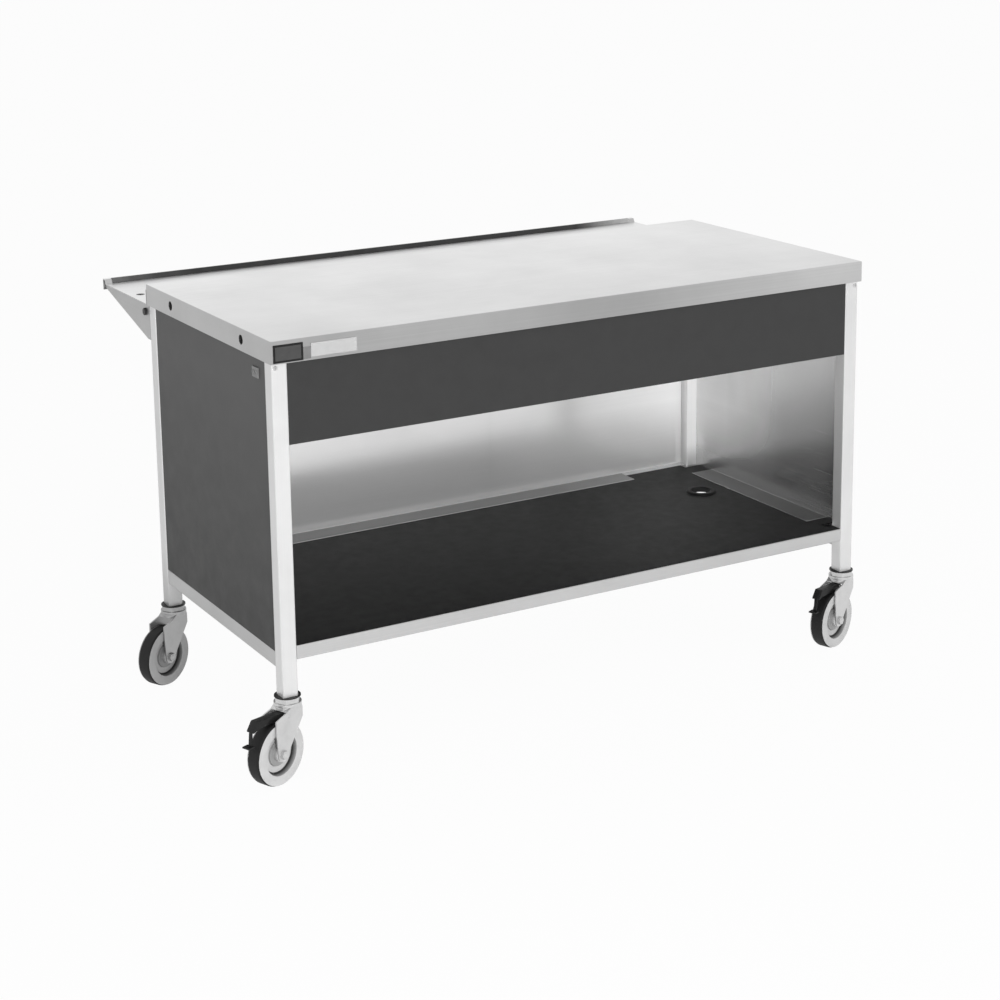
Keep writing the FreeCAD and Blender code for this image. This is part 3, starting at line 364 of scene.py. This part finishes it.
SHELF_PAINT = coated("dark shelf finish", "dark_shelf", grey(0.016), 0.38, patch=40, skin=500, depth=0.35,
                     shine=0.08, fades=[(0, -0.7, -0.1, 0.75, 1.05), (1, -0.3, 0, 0.5, 1)])
add_piece("shelf_sheet", eased("bottom_shelf", edge=0.0004), SHELF_PAINT, ["bottom_shelf"])
SLAB_EDGE = 0.0002
LIP_AIR, LIP_THICK, LIP_END, LIP_FRONT, LIP_LAP = 0.0001, 0.0008, 0.0005, 0.001, 0.003
rail_low, rail_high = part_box("bottom_rail_front")
lip_low = Vector((rail_low.x + LIP_END, rail_low.y + LIP_FRONT, rail_high.z + LIP_AIR))
lip_high = Vector((rail_high.x - LIP_END, rail_high.y + LIP_LAP, rail_high.z + LIP_AIR + LIP_THICK))
add_piece("shelf_lip", slab(lip_low, lip_high), SHELF_PAINT)


# Cord grommet
# A moulded black rubber ring with rounded lips that snaps into the hole in the shelf.

def rounded(corners, radius, steps=5):
    """A closed outline with each corner turned into a short arc."""
    points = []
    count = len(corners)
    for k in range(count):
        here = Vector(corners[k])
        before = Vector(corners[k - 1]) - here
        after = Vector(corners[(k + 1) % count]) - here
        reach = min(radius, before.length * CORNER_SHARE, after.length * CORNER_SHARE)
        start = here + before.normalized() * reach
        end = here + after.normalized() * reach
        for step in range(steps + 1):
            f = step / steps
            points.append((start * (1 - f) ** 2 + here * 2 * f * (1 - f) + end * f ** 2)[:])
    return points


def lathe(outline, steps=96, painted_shade=None):
    """Turns a closed outline of (radius, height) about Z, and marks each ring with how much painted shade
    it takes.
    """
    shape = bmesh.new()
    layer = shape.verts.layers.float.new("painted_shade") if painted_shade else None
    turns = [2 * math.pi * k / steps for k in range(steps)]
    rings = [[shape.verts.new((r * math.cos(a), r * math.sin(a), h)) for a in turns] for r, h in outline]
    if painted_shade:
        for ring, (r, h) in zip(rings, outline):
            for vert in ring:
                vert[layer] = painted_shade(r, h)
    for k, ring in enumerate(rings):
        other = rings[k - 1]
        for j in range(steps):
            shape.faces.new((ring[j], ring[j - 1], other[j - 1], other[j])).smooth = True
    bmesh.ops.remove_doubles(shape, verts=shape.verts, dist=SAME_SPOT)
    bmesh.ops.recalc_face_normals(shape, faces=shape.faces)
    return shape


CORNER_SHARE, SAME_SPOT = 0.45, 1e-7
GROMMET_RUBBER = coated("grommet rubber", "black_rubber", grey(0.008), 0.5, patch=60, skin=1500, shine=0.3)
grommet_low, grommet_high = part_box("shelf_grommet")
grommet_middle = (grommet_low + grommet_high) / 2
grommet_outer = (grommet_high.x - grommet_low.x) / 2
shelf_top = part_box("bottom_shelf")[1].z
bore, neck, tail, shelf_sheet = 0.022, 0.026, 0.0307, 0.002
lip_slope, lip_round = 0.003, 0.0015
lip = [(bore, grommet_low.z), (tail, grommet_low.z), (tail, shelf_top - shelf_sheet),
       (neck, shelf_top - shelf_sheet), (neck, shelf_top), (grommet_outer, shelf_top),
       (grommet_outer - lip_slope, grommet_high.z), (bore, grommet_high.z)]
grommet = lathe(rounded(lip, lip_round))
bmesh.ops.translate(grommet, verts=grommet.verts, vec=(grommet_middle.x, grommet_middle.y, 0))
add_piece("cord_grommet", grommet, GROMMET_RUBBER, ["shelf_grommet"])


# Tray slide and brackets
# A folded stainless run with a raised bead along its outer edge, for trays to slide on.
# Gusset plates bolted to the back legs carry it, and an upturn is screwed to the work top's edge.

# Painted light: upward faces of the run and the gussets take a paler tone than their upright faces.
SLIDE_STEEL = steel("brushed slide steel", "stainless_top", (0.80, 0.36), (0.52, 0.42), ALONG)
add_piece("slide_run", eased("tray_slide", edge=0.0006, steps=3, sharp=25), SLIDE_STEEL, ["tray_slide"])
BRACKET_STEEL = steel("gusset steel", "stainless_frame", (0.6, 0.42), (0.44, 0.42), ACROSS, 0.06, metal=0.7)
for side in ("left", "right"):
    node_name = "slide_bracket_" + side
    add_piece("gusset_" + side, eased(node_name, edge=0.0005), BRACKET_STEEL, [node_name])


# Bead strip
# A thin black strip over the inner slope of the bead. It stops short of both ends and is paler towards
# them, most of all at the right.

def extruded(outline, start, end):
    """A closed outline of (y, z) carried along X between two capped ends."""
    shape = bmesh.new()
    rings = [[shape.verts.new((x, y, z)) for y, z in outline] for x in (start, end)]
    count = len(outline)
    for k in range(count):
        shape.faces.new((rings[0][k - 1], rings[0][k], rings[1][k], rings[1][k - 1])).smooth = True
    for ring in rings:
        shape.faces.new(ring)
    bmesh.ops.recalc_face_normals(shape, faces=shape.faces)
    return shape


BEAD_STRIP_BLACK = coated("black bead strip", "black_rubber", grey(0.04), 0.5, patch=20, skin=1200, depth=0.3,
                     shine=0.3, fades=[(0, -0.66, -0.48, 3.2, 1), (0, 0.52, 0.66, 1, 15)])
slide_low, slide_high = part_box("tray_slide")
RUN_HEIGHT = 0.822
BEAD_WIDTH, BEAD_HEIGHT, BEAD_SLOPE = 0.016, 0.009, 0.005
STRIP_THICK, STRIP_THIN, STRIP_FROM_END, STRIP_ON_CREST = 0.0012, 0.00084, 0.016, 0.005
STRIP_AIR, STRIP_TUCK, STRIP_ROUND = 0.0003, 0.0004, 0.0005
foot_y = slide_high.y - BEAD_WIDTH
crest_y, crest_z = foot_y + BEAD_SLOPE, RUN_HEIGHT + BEAD_HEIGHT
strip_foot, strip_edge = RUN_HEIGHT + STRIP_AIR, crest_y + STRIP_ON_CREST
strip = [(foot_y - STRIP_THICK, strip_foot), (foot_y + STRIP_TUCK, strip_foot), (crest_y, crest_z),
         (strip_edge, crest_z), (strip_edge, crest_z + STRIP_THIN),
         (crest_y - STRIP_THICK / 2, crest_z + STRIP_THICK)]
add_piece("bead_strip", extruded(rounded(strip, STRIP_ROUND, 3), slide_low.x + STRIP_FROM_END,
                                 slide_high.x - STRIP_FROM_END), BEAD_STRIP_BLACK)


# Bolts and screws
# Black hexagon bolts hold the slide's end tabs to the gussets, and countersunk ones its run.
# Small cross screws in bright zinc hold the front legs and the slide's upturn, and dull ones the keeper.

def geometry_tree(name, inputs):
    """An empty geometry tree that takes points or sizes and gives a mesh."""
    tree = bpy.data.node_groups.new(name, "GeometryNodeTree")
    for label, kind in inputs.items():
        tree.interface.new_socket(label, in_out="INPUT", socket_type="NodeSocket" + kind)
    tree.interface.new_socket("Mesh", in_out="OUTPUT", socket_type="NodeSocketGeometry")
    return tree, tree.nodes.new("NodeGroupInput").outputs, tree.nodes.new("NodeGroupOutput").inputs


def raised(tree, mesh, height):
    """Lifts a mesh along Z inside a geometry tree."""
    lift = wire(tree, "CombineXYZ", Z=height)
    return wire(tree, "GeometryNodeTransform", Geometry=mesh, Translation=lift)


def fastener_tree():
    """Sets a head on each point: a straight body, a crown with or without a cross cut, a shank behind."""
    tree, given, out = geometry_tree("set fasteners", {
        "Points": "Geometry", "Sides": "Int", "Radius": "Float", "Height": "Float", "Crown": "Float",
        "Crown Radius": "Float", "Cross": "Bool", "Cross Size": "Vector", "Shank Radius": "Float",
        "Shank Length": "Float", "Material": "Material"})
    straight = sums(tree, "SUBTRACT", given["Height"], given["Crown"])
    body = wire(tree, "GeometryNodeMeshCylinder", Vertices=given["Sides"], Radius=given["Radius"],
                Depth=straight)
    body = raised(tree, body, sums(tree, "MULTIPLY", straight, 0.5))
    crown = wire(tree, "GeometryNodeMeshCone", Vertices=given["Sides"], Radius_Bottom=given["Radius"],
                 Radius_Top=given["Crown Radius"], Depth=given["Crown"])
    arm = raised(tree, wire(tree, "GeometryNodeMeshCube", Size=given["Cross Size"]), given["Crown"])
    other_arm = wire(tree, "GeometryNodeTransform", Geometry=arm, Rotation=(0, 0, math.pi / 2))
    cut = tree.nodes.new("GeometryNodeMeshBoolean")
    cut.operation = "DIFFERENCE"
    tree.links.new(crown, cut.inputs["Mesh 1"])
    for blade in (arm, other_arm):
        tree.links.new(blade, cut.inputs["Mesh 2"])
    top = wire(tree, "GeometryNodeSwitch", input_type="GEOMETRY", Switch=given["Cross"], socket1=crown,
               socket2=cut.outputs["Mesh"])
    shank = wire(tree, "GeometryNodeMeshCylinder", Vertices=16, Radius=given["Shank Radius"],
                 Depth=given["Shank Length"])
    shank = raised(tree, shank, sums(tree, "MULTIPLY", given["Shank Length"], -0.5))
    whole = tree.nodes.new("GeometryNodeJoinGeometry")
    for part in (body, raised(tree, top, straight), shank):
        tree.links.new(part, whole.inputs["Geometry"])
    way = wire(tree, "GeometryNodeInputNamedAttribute", data_type="FLOAT_VECTOR", Name="way")
    turned = wire(tree, "FunctionNodeAlignRotationToVector", axis="Z", Vector=way)
    heads = wire(tree, "GeometryNodeInstanceOnPoints", Points=given["Points"], Instance=whole.outputs[0],
                 Rotation=turned)
    solid = wire(tree, "GeometryNodeRealizeInstances", Geometry=heads)
    done = wire(tree, "GeometryNodeSetMaterial", Geometry=solid, Material=given["Material"])
    tree.links.new(done, out["Mesh"])
    return tree


def grown(tree, points, **sizes):
    """Runs a geometry tree on a mesh of points and gives the plain mesh that comes out."""
    holder = bpy.data.objects.new("points", points)
    bpy.context.scene.collection.objects.link(holder)
    maker = holder.modifiers.new("grow", "NODES")
    maker.node_group = tree
    for item in tree.interface.items_tree:
        label = item.name.replace(" ", "_")
        if item.in_out == "INPUT" and label in sizes:
            maker[item.identifier] = sizes[label]
    done = holder.evaluated_get(bpy.context.evaluated_depsgraph_get())
    mesh = bpy.data.meshes.new_from_object(done)
    bpy.data.objects.remove(holder)
    return mesh


def loose_boxes(node_name):
    """The low and high corner of each separate solid in a CAD node."""
    shape = bmesh.new()
    shape.from_mesh(frame["nodes"][node_name].data)
    bmesh.ops.remove_doubles(shape, verts=shape.verts, dist=WELD)
    waiting = set(shape.verts)
    boxes = []
    while waiting:
        reached = [waiting.pop()]
        for vert in reached:
            near = {edge.other_vert(vert) for edge in vert.link_edges} & waiting
            waiting -= near
            reached.extend(near)
        places = [vert.co for vert in reached]
        boxes.append([Vector([pick(p[k] for p in places) for k in range(3)]) for pick in (min, max)])
    shape.free()
    return boxes


def seats(boxes, height, axis, sign):
    """Points where the heads of the boxed fasteners sit, with the way each head looks."""
    spots, ways = [], []
    for low, high in boxes:
        spot = (low + high) / 2
        side = sign(spot)
        spot[axis] = (high[axis] if side > 0 else low[axis]) - side * height
        way = Vector()
        way[axis] = side
        spots.append(spot)
        ways.extend(way)
    points = bpy.data.meshes.new("seats")
    points.from_pydata(spots, [], [])
    points.attributes.new("way", "FLOAT_VECTOR", "POINT").data.foreach_set("vector", ways)
    return points


FASTENERS = fastener_tree()
# Painted shade: the zinc is painted darker towards the back, on the back casters and the screws there.
ZINC = coated("bright zinc plate", "zinc", grey(0.62), 0.36, patch=40, skin=1200, depth=0.08, metal=0.8,
              fades=[(1, -0.2, 0.3, 1, 0.6)])
KEEPER_METAL = coated("dull keeper plate", "zinc", grey(0.21), 0.45, patch=50, depth=0.12, metal=0.2)
BOLT_HEAD, SUNK_HEAD, NUT_HEIGHT, SCREW_HEAD = 0.006, 0.002, 0.006, 0.002
UPRIGHT_WITHIN, FRONT_LEG_LIMIT = 0.003, -0.3
hexagon = {"Sides": 6, "Radius": 0.008, "Crown": 0.0008, "Crown_Radius": 0.0069, "Shank_Radius": 0.004}
sunk = {"Sides": 40, "Radius": 0.004, "Crown": 0.0019, "Crown_Radius": 0.009, "Cross": True,
        "Cross_Size": (0.009, 0.0016, 0.002), "Shank_Radius": 0.004}
cross_head = {"Sides": 32, "Radius": 0.0045, "Height": SCREW_HEAD, "Crown": 0.0013, "Crown_Radius": 0.003,
              "Cross": True, "Cross_Size": (0.005, 0.001, 0.0016), "Shank_Radius": 0.002,
              "Shank_Length": 0.008}


def outward(spot):
    return math.copysign(1, spot.x)


def inward(spot):
    return -outward(spot)


def upwards(spot):
    return 1


def downwards(spot):
    return -1


def away(spot):
    return math.copysign(1, spot.y)


sorted_bolts = {"side_bolts": [], "side_nuts": [], "run_bolts": [], "run_nuts": []}
for low, high in loose_boxes("slide_bolts"):
    size = high - low
    kind = "run_" if abs(size.x - size.y) < UPRIGHT_WITHIN else "side_"
    length = size.z if kind == "run_" else size.x
    sorted_bolts[kind + ("bolts" if length > 2 * NUT_HEIGHT else "nuts")].append((low, high))
for kind, axis, sign, head, shank, shape in (
        ("side_bolts", 0, outward, BOLT_HEAD, 0.017, hexagon),
        ("side_nuts", 0, inward, NUT_HEIGHT, 0.001, hexagon),
        ("run_bolts", 2, upwards, SUNK_HEAD, 0.015, sunk),
        ("run_nuts", 2, downwards, NUT_HEIGHT, 0.001, hexagon)):
    mesh = grown(FASTENERS, seats(sorted_bolts[kind], head, axis, sign), Height=head, Shank_Length=shank,
                 Material=DARK_BOLT, **shape)
    add_piece("slide_" + kind, mesh, DARK_BOLT, ["slide_bolts"] if kind == "side_bolts" else [])
screw_boxes = loose_boxes("fixing_screws")
keeper_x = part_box("keeper_plate")[1].x
keeper_screws = [box for box in screw_boxes if box[0].x < keeper_x and box[0].y > FRONT_LEG_LIMIT]
frame_screws = [box for box in screw_boxes if box not in keeper_screws]
screw_mesh = grown(FASTENERS, seats(frame_screws, SCREW_HEAD, 1, away), Material=ZINC, **cross_head)
keeper_screw_mesh = grown(FASTENERS, seats(keeper_screws, SCREW_HEAD, 0, outward), Material=KEEPER_METAL,
                          **cross_head)
add_piece("frame_screws", screw_mesh, ZINC, ["fixing_screws"])
add_piece("keeper_screws", keeper_screw_mesh, KEEPER_METAL)


# Keeper and bare plates
# A pressed keeper on the left end panel, and three thin plates on the front edge that are left bare:
# a dark one with a raised black rim, a small grey one and a long pale one.

add_piece("end_keeper", eased("keeper_plate", edge=0.0008, steps=3), KEEPER_METAL, ["keeper_plate"])
RIM_PAINT = coated("black plate rim", "dark_plate", grey(0.008), 0.4, patch=60, depth=0.3, shine=0.3)
FACE_PAINT = coated("grey plate face", "dark_plate", grey(0.05), 0.4, patch=60, depth=0.12, shine=0.3)
PALE_PLATE = coated("pale plate face", "pale_plate", grey(0.42), 0.4, patch=40, depth=0.05, shine=0.3)
GREY_PLATE = coated("small grey plate", "pale_plate", grey(0.17), 0.4, patch=60, depth=0.1, shine=0.3)
PLATE_RIM, PLATE_SINK, LOOKS_FRONT = 0.004, 0.0004, -0.9
plate_low, plate_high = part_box("nameplate_blank")
face_low = plate_low + Vector((PLATE_RIM, PLATE_SINK, PLATE_RIM))
face_high = plate_high - Vector((PLATE_RIM, 0, PLATE_RIM))
rim = eased("nameplate_blank", edge=0.0002)
front = [face for face in rim.faces if face.normal.y < LOOKS_FRONT]
bmesh.ops.inset_region(rim, faces=front, thickness=PLATE_RIM, depth=0)
sunk_verts = {vert for face in front if face.is_valid for vert in face.verts}
bmesh.ops.translate(rim, vec=(0, 2 * PLATE_SINK, 0), verts=list(sunk_verts))
add_piece("front_plate_rim", rim, RIM_PAINT, ["nameplate_blank"])
add_piece("front_plate_face", slab(face_low, face_high), FACE_PAINT)
add_piece("pale_front_plate", eased("label_plate", edge=0.0003), PALE_PLATE, ["label_plate"])
pale_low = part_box("label_plate")[0]
GREY_PLATE_LOW, GREY_PLATE_HIGH, PLATE_AIR = 0.823, 0.846, 0.0002
grey_low = Vector((plate_high.x + PLATE_AIR, plate_low.y, GREY_PLATE_LOW))
grey_high = Vector((pale_low.x - PLATE_AIR, plate_high.y, GREY_PLATE_HIGH))
add_piece("grey_front_plate", slab(grey_low, grey_high), GREY_PLATE)


# Casters
# Zinc-plated swivel casters plugged into the legs: hexagon collar, ball race, pressed fork and cast wheel.
# The two at the front have a black brake pedal over the tread, with a ribbed tab for the toe.
# A black rubber boot closes the joint between leg and collar. Each wheel's dish is painted dark as painted
# shade, fully on its wall and less round the hub, and the back casters are painted darker than the front
# ones, as painted shade.

# Painted shade: the wheel metal is painted darker towards the back, and in each dish on its marked rings.
CORE_METAL = coated("cast wheel metal", "wheel_metal", grey(0.53), 0.45, patch=30, skin=900, depth=0.08,
                    metal=0.1, painted_shade="painted_shade", fades=[(1, -0.2, 0.3, 1, 0.59)])
BOOT_RUBBER = coated("boot rubber", "black_rubber", grey(0.012), 0.5, patch=60, skin=1500, shine=0.3)
TYRE_RUBBER = coated("black tyre rubber", "tyre", grey(0.009), 0.6, patch=40, skin=1200, depth=0.4,
                     shine=0.3)
BRONZE = coated("plain bronze", "bronze", (0.40, 0.32, 0.2), 0.4, metal=1.0)
PEDAL_PAINT = coated("black pedal paint", "black_pedal", grey(0.008), 0.45, patch=50, depth=0.4, shine=0.3)


def caster_place(corner):
    """Where a caster stands: its swivel axis on the floor, turned so that +X is the trailing way."""
    found = {joint["name"]: Vector(joint["pos_m"]) for joint in frame["joints"]}
    axis = found["swivel_" + corner]
    trail = found["roll_" + corner] - axis
    turn = Matrix.Rotation(math.atan2(trail.y, trail.x), 4, "Z")
    return Matrix.Translation((axis.x, axis.y, 0)) @ turn, math.hypot(trail.x, trail.y)


def rib_tree():
    """A row of raised bars, for the sole of a shoe to grip."""
    tree, given, out = geometry_tree("grip ribs", {
        "Points": "Geometry", "Count": "Int", "Start": "Vector", "Step": "Vector", "Rib": "Vector",
        "Material": "Material"})
    row = wire(tree, "GeometryNodeMeshLine", Count=given["Count"], Start_Location=given["Start"],
               Offset=given["Step"])
    bar = wire(tree, "GeometryNodeMeshCube", Size=given["Rib"])
    ribs = wire(tree, "GeometryNodeInstanceOnPoints", Points=row, Instance=bar)
    solid = wire(tree, "GeometryNodeRealizeInstances", Geometry=ribs)
    done = wire(tree, "GeometryNodeSetMaterial", Geometry=solid, Material=given["Material"])
    tree.links.new(done, out["Mesh"])
    return tree


def boot(half, outer, low, high, steps=96):
    """A flat ring, round outside, with a square hole that fits round the leg."""
    shape = bmesh.new()
    rings = []
    for hole, level in ((True, low), (False, low), (False, high), (True, high)):
        ring = []
        for k in range(steps):
            along, across = math.cos(2 * math.pi * k / steps), math.sin(2 * math.pi * k / steps)
            reach = half / max(abs(along), abs(across)) if hole else outer
            ring.append(shape.verts.new((reach * along, reach * across, level)))
        rings.append(ring)
    for k, ring in enumerate(rings):
        for j in range(steps):
            shape.faces.new((ring[j], ring[j - 1], rings[k - 1][j - 1], rings[k - 1][j])).smooth = True
    bmesh.ops.recalc_face_normals(shape, faces=shape.faces)
    return shape


def dish_shade(r, h):
    """How much painted shade a wheel takes: full on the wall of the dish, less round the hub."""
    deep = min(1, (WHEEL_HALF - abs(h)) / SHADE_DEEP)
    if DISH_EDGE - 2 * DISH_SLOPE < r < DISH_EDGE + SHADE_LIP:
        return max(0, deep)
    round_hub = HUB_RADIUS - SHADE_SPREAD < r < BOSS_RADIUS + SHADE_SPREAD
    return HUB_SHADE if round_hub and abs(h) < HUB_HALF - 2 * SHADE_SPREAD else 0


RIBS = rib_tree()
BOOT_HALF, BOOT_OUTER, BOOT_AIR, BOOT_HIGH = 0.0162, 0.0258, 0.0001, 0.002
TOE_START, TOE_TOP = 0.1055, 0.101
RIB_COUNT, RIB_STEP, RIB_WIDE, RIB_LONG, RIB_HIGH = 5, 0.0027, 0.0012, 0.014, 0.0008
WHEEL_RADIUS, WHEEL_HALF = 0.0635, 0.016
RIM_BED, RIM_LIP, RIM_STEP = 0.0505, 0.0016, 0.002
DISH_EDGE, DISH_SLOPE, WEB_HALF, WEB_TURN = 0.0425, 0.0025, 0.005, 0.006
BOSS_RADIUS, BOSS_HALF = 0.025, 0.009
HUB_RADIUS, HUB_HALF, BUSH_OUT = 0.015, 0.0182, 0.0082
SHADE_DEEP, SHADE_LIP, SHADE_SPREAD, HUB_SHADE = 0.003, 0.0004, 0.001, 0.45
WHEEL_STEPS, CORE_ROUND, TYRE_ROUND, TYRE_AIR = 128, 0.0014, 0.003, 0.0001
core_side = [(BUSH_OUT, HUB_HALF), (HUB_RADIUS, HUB_HALF), (HUB_RADIUS, BOSS_HALF),
             (BOSS_RADIUS, BOSS_HALF), (BOSS_RADIUS, WEB_HALF), (DISH_EDGE - WEB_TURN, WEB_HALF),
             (DISH_EDGE - DISH_SLOPE, WEB_HALF), (DISH_EDGE, WHEEL_HALF),
             (WHEEL_RADIUS - RIM_STEP, WHEEL_HALF), (WHEEL_RADIUS - RIM_STEP, WHEEL_HALF - RIM_LIP),
             (RIM_BED, WHEEL_HALF - RIM_LIP)]
core_outline = rounded(core_side + [(r, -h) for r, h in reversed(core_side)], CORE_ROUND)
tyre_half, tyre_bore = WHEEL_HALF - RIM_LIP - TYRE_AIR, RIM_BED + TYRE_AIR
shoulder = WHEEL_RADIUS - TYRE_ROUND
tyre_outline = rounded([(tyre_bore, -tyre_half), (shoulder, -tyre_half),
                        (WHEEL_RADIUS, TYRE_ROUND - tyre_half), (WHEEL_RADIUS, tyre_half - TYRE_ROUND),
                        (shoulder, tyre_half), (tyre_bore, tyre_half)], TYRE_ROUND)
for corner in ("front_left", "front_right", "back_left", "back_right"):
    place, trail = caster_place(corner)
    axle = place @ Matrix.Translation((trail, 0, WHEEL_RADIUS)) @ Matrix.Rotation(math.radians(-90), 4, "X")
    swivel, wheel, brake = "swivel_" + corner, "wheel_" + corner, "brake_" + corner
    add_piece("stem_" + corner, eased("caster_stem_" + corner, edge=0.0008, steps=3), ZINC,
              ["caster_stem_" + corner])
    leg_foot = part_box("leg_" + corner)[0].z
    ring = boot(BOOT_HALF, BOOT_OUTER, leg_foot + BOOT_AIR, leg_foot + BOOT_HIGH)
    bmesh.ops.translate(ring, verts=ring.verts, vec=(place.translation.x, place.translation.y, 0))
    add_piece("boot_" + corner, ring, BOOT_RUBBER)
    add_piece("fork_" + corner, eased("caster_fork_" + corner, edge=0.0012, steps=3), ZINC,
              ["caster_fork_" + corner], swivel)
    add_piece("axle_" + corner, eased("caster_bolts_" + corner, edge=0.0008, steps=3), ZINC,
              ["caster_bolts_" + corner], swivel)
    for name, outline, material, node_name in (
            ("cast_wheel_", core_outline, CORE_METAL, "wheel_core_"),
            ("tread_", tyre_outline, TYRE_RUBBER, "tyre_")):
        ring = lathe(outline, WHEEL_STEPS, dish_shade)
        bmesh.ops.transform(ring, matrix=axle, verts=ring.verts)
        add_piece(name + corner, ring, material, [node_name + corner], wheel)
    add_piece("bush_" + corner, eased("wheel_bush_" + corner, edge=0.0003), BRONZE,
              ["wheel_bush_" + corner], wheel)
    if corner.startswith("front"):
        add_piece("pedal_" + corner, eased("brake_pedal_" + corner, edge=0.0012, steps=3), PEDAL_PAINT,
                  ["brake_pedal_" + corner], brake)
        ribs = grown(RIBS, bpy.data.meshes.new("toe"), Count=RIB_COUNT, Start=(TOE_START, 0, TOE_TOP),
                     Step=(RIB_STEP, 0, 0), Rib=(RIB_WIDE, RIB_LONG, 2 * RIB_HIGH),
                     Material=PEDAL_PAINT)
        ribs.transform(place)
        add_piece("toe_ribs_" + corner, ribs, PEDAL_PAINT, body=brake)


# Floor, light and camera
# A white studio floor that keeps a faint shadow, with soft lamps at the front and at both sides.
# The camera stands at the photograph's angle and looks down on the work top.

def seen_white(tree):
    """One for the camera, for reflections and for what shows through, nought for the light itself."""
    path = tree.nodes.new("ShaderNodeLightPath").outputs
    straight = sums(tree, "MAXIMUM", path["Is Camera Ray"], path["Is Glossy Ray"])
    return sums(tree, "MAXIMUM", straight, path["Is Transmission Ray"])


FLOOR_REACH, GLOW_SHARE, SKY_LIGHT, SKY_SEEN = 30.0, 0.96, 0.36, 0.985
floor_mesh = bpy.data.meshes.new("floor")
floor_mesh.from_pydata([(-FLOOR_REACH, -FLOOR_REACH, 0), (FLOOR_REACH, -FLOOR_REACH, 0),
                        (FLOOR_REACH, FLOOR_REACH, 0), (-FLOOR_REACH, FLOOR_REACH, 0)], [], [(0, 1, 2, 3)])
floor = bpy.data.objects.new("floor", floor_mesh)
bpy.context.scene.collection.objects.link(floor)
floor_paint = bpy.data.materials.new("white floor")
floor_paint.use_nodes = True
tree = floor_paint.node_tree
tree.nodes.clear()
lit = wire(tree, "BsdfDiffuse", Color=(0.85, 0.85, 0.85, 1))
glow = wire(tree, "Emission", Color=(1, 1, 1, 1), Strength=1.0)
share = sums(tree, "MULTIPLY", seen_white(tree), GLOW_SHARE)
surface = wire(tree, "MixShader", socket0=share, socket1=lit, socket2=glow)
tree.links.new(surface, tree.nodes.new("ShaderNodeOutputMaterial").inputs["Surface"])
floor_mesh.materials.append(floor_paint)

world = bpy.data.worlds.new("studio")
bpy.context.scene.world = world
world.use_nodes = True
tree = world.node_tree
tree.nodes.clear()
sky_strength = spread(tree, seen_white(tree), SKY_LIGHT, SKY_SEEN)
sky = wire(tree, "Background", Color=(1, 1, 1, 1), Strength=sky_strength)
tree.links.new(sky, tree.nodes.new("ShaderNodeOutputWorld").inputs["Surface"])


def soft_box(name, spot, size, power):
    """A large area lamp turned to the middle of the counter. The steel doesn't mirror its outline."""
    lamp = bpy.data.lights.new(name, "AREA")
    lamp.shape = "RECTANGLE"
    lamp.size, lamp.size_y = size
    lamp.energy = power
    holder = bpy.data.objects.new(name, lamp)
    bpy.context.scene.collection.objects.link(holder)
    holder.location = spot
    holder.rotation_mode = "QUATERNION"
    holder.rotation_quaternion = (LAMP_AIM - Vector(spot)).to_track_quat("-Z", "Y")
    holder.visible_camera = False
    holder.visible_glossy = False


LAMP_AIM = Vector((0, 0, 0.5))
soft_box("key", (-1.6, -4.9, 1.1), (1.8, 1.6), 200)
soft_box("side", (3.4, -3.6, 3.4), (1.6, 1.6), 40)
soft_box("fill", (-4.6, -2.4, 2.4), (2.4, 2.4), 35)

lens = bpy.data.cameras.new("camera")
lens.sensor_width = 36
lens.lens = 75.83
lens.shift_y = -0.2
lens.clip_end = 100
camera = bpy.data.objects.new("camera", lens)
bpy.context.scene.collection.objects.link(camera)
CAMERA_SPOT = (-2.1944, -3.7615, 1.7335)
yaw, pitch, roll = math.radians(-29.98), math.radians(12.04), math.radians(-0.76)
forward = Vector((-math.sin(yaw) * math.cos(pitch), math.cos(yaw) * math.cos(pitch), -math.sin(pitch)))
level = forward.cross(Vector((0, 0, 1))).normalized()
upward = level.cross(forward)
right = level * math.cos(roll) + upward * math.sin(roll)
up = upward * math.cos(roll) - level * math.sin(roll)
pose = Matrix((right, up, -forward)).transposed().to_4x4()
camera.matrix_world = Matrix.Translation(CAMERA_SPOT) @ pose
bpy.context.scene.camera = camera

bpy.context.scene.view_settings.view_transform = "Standard"
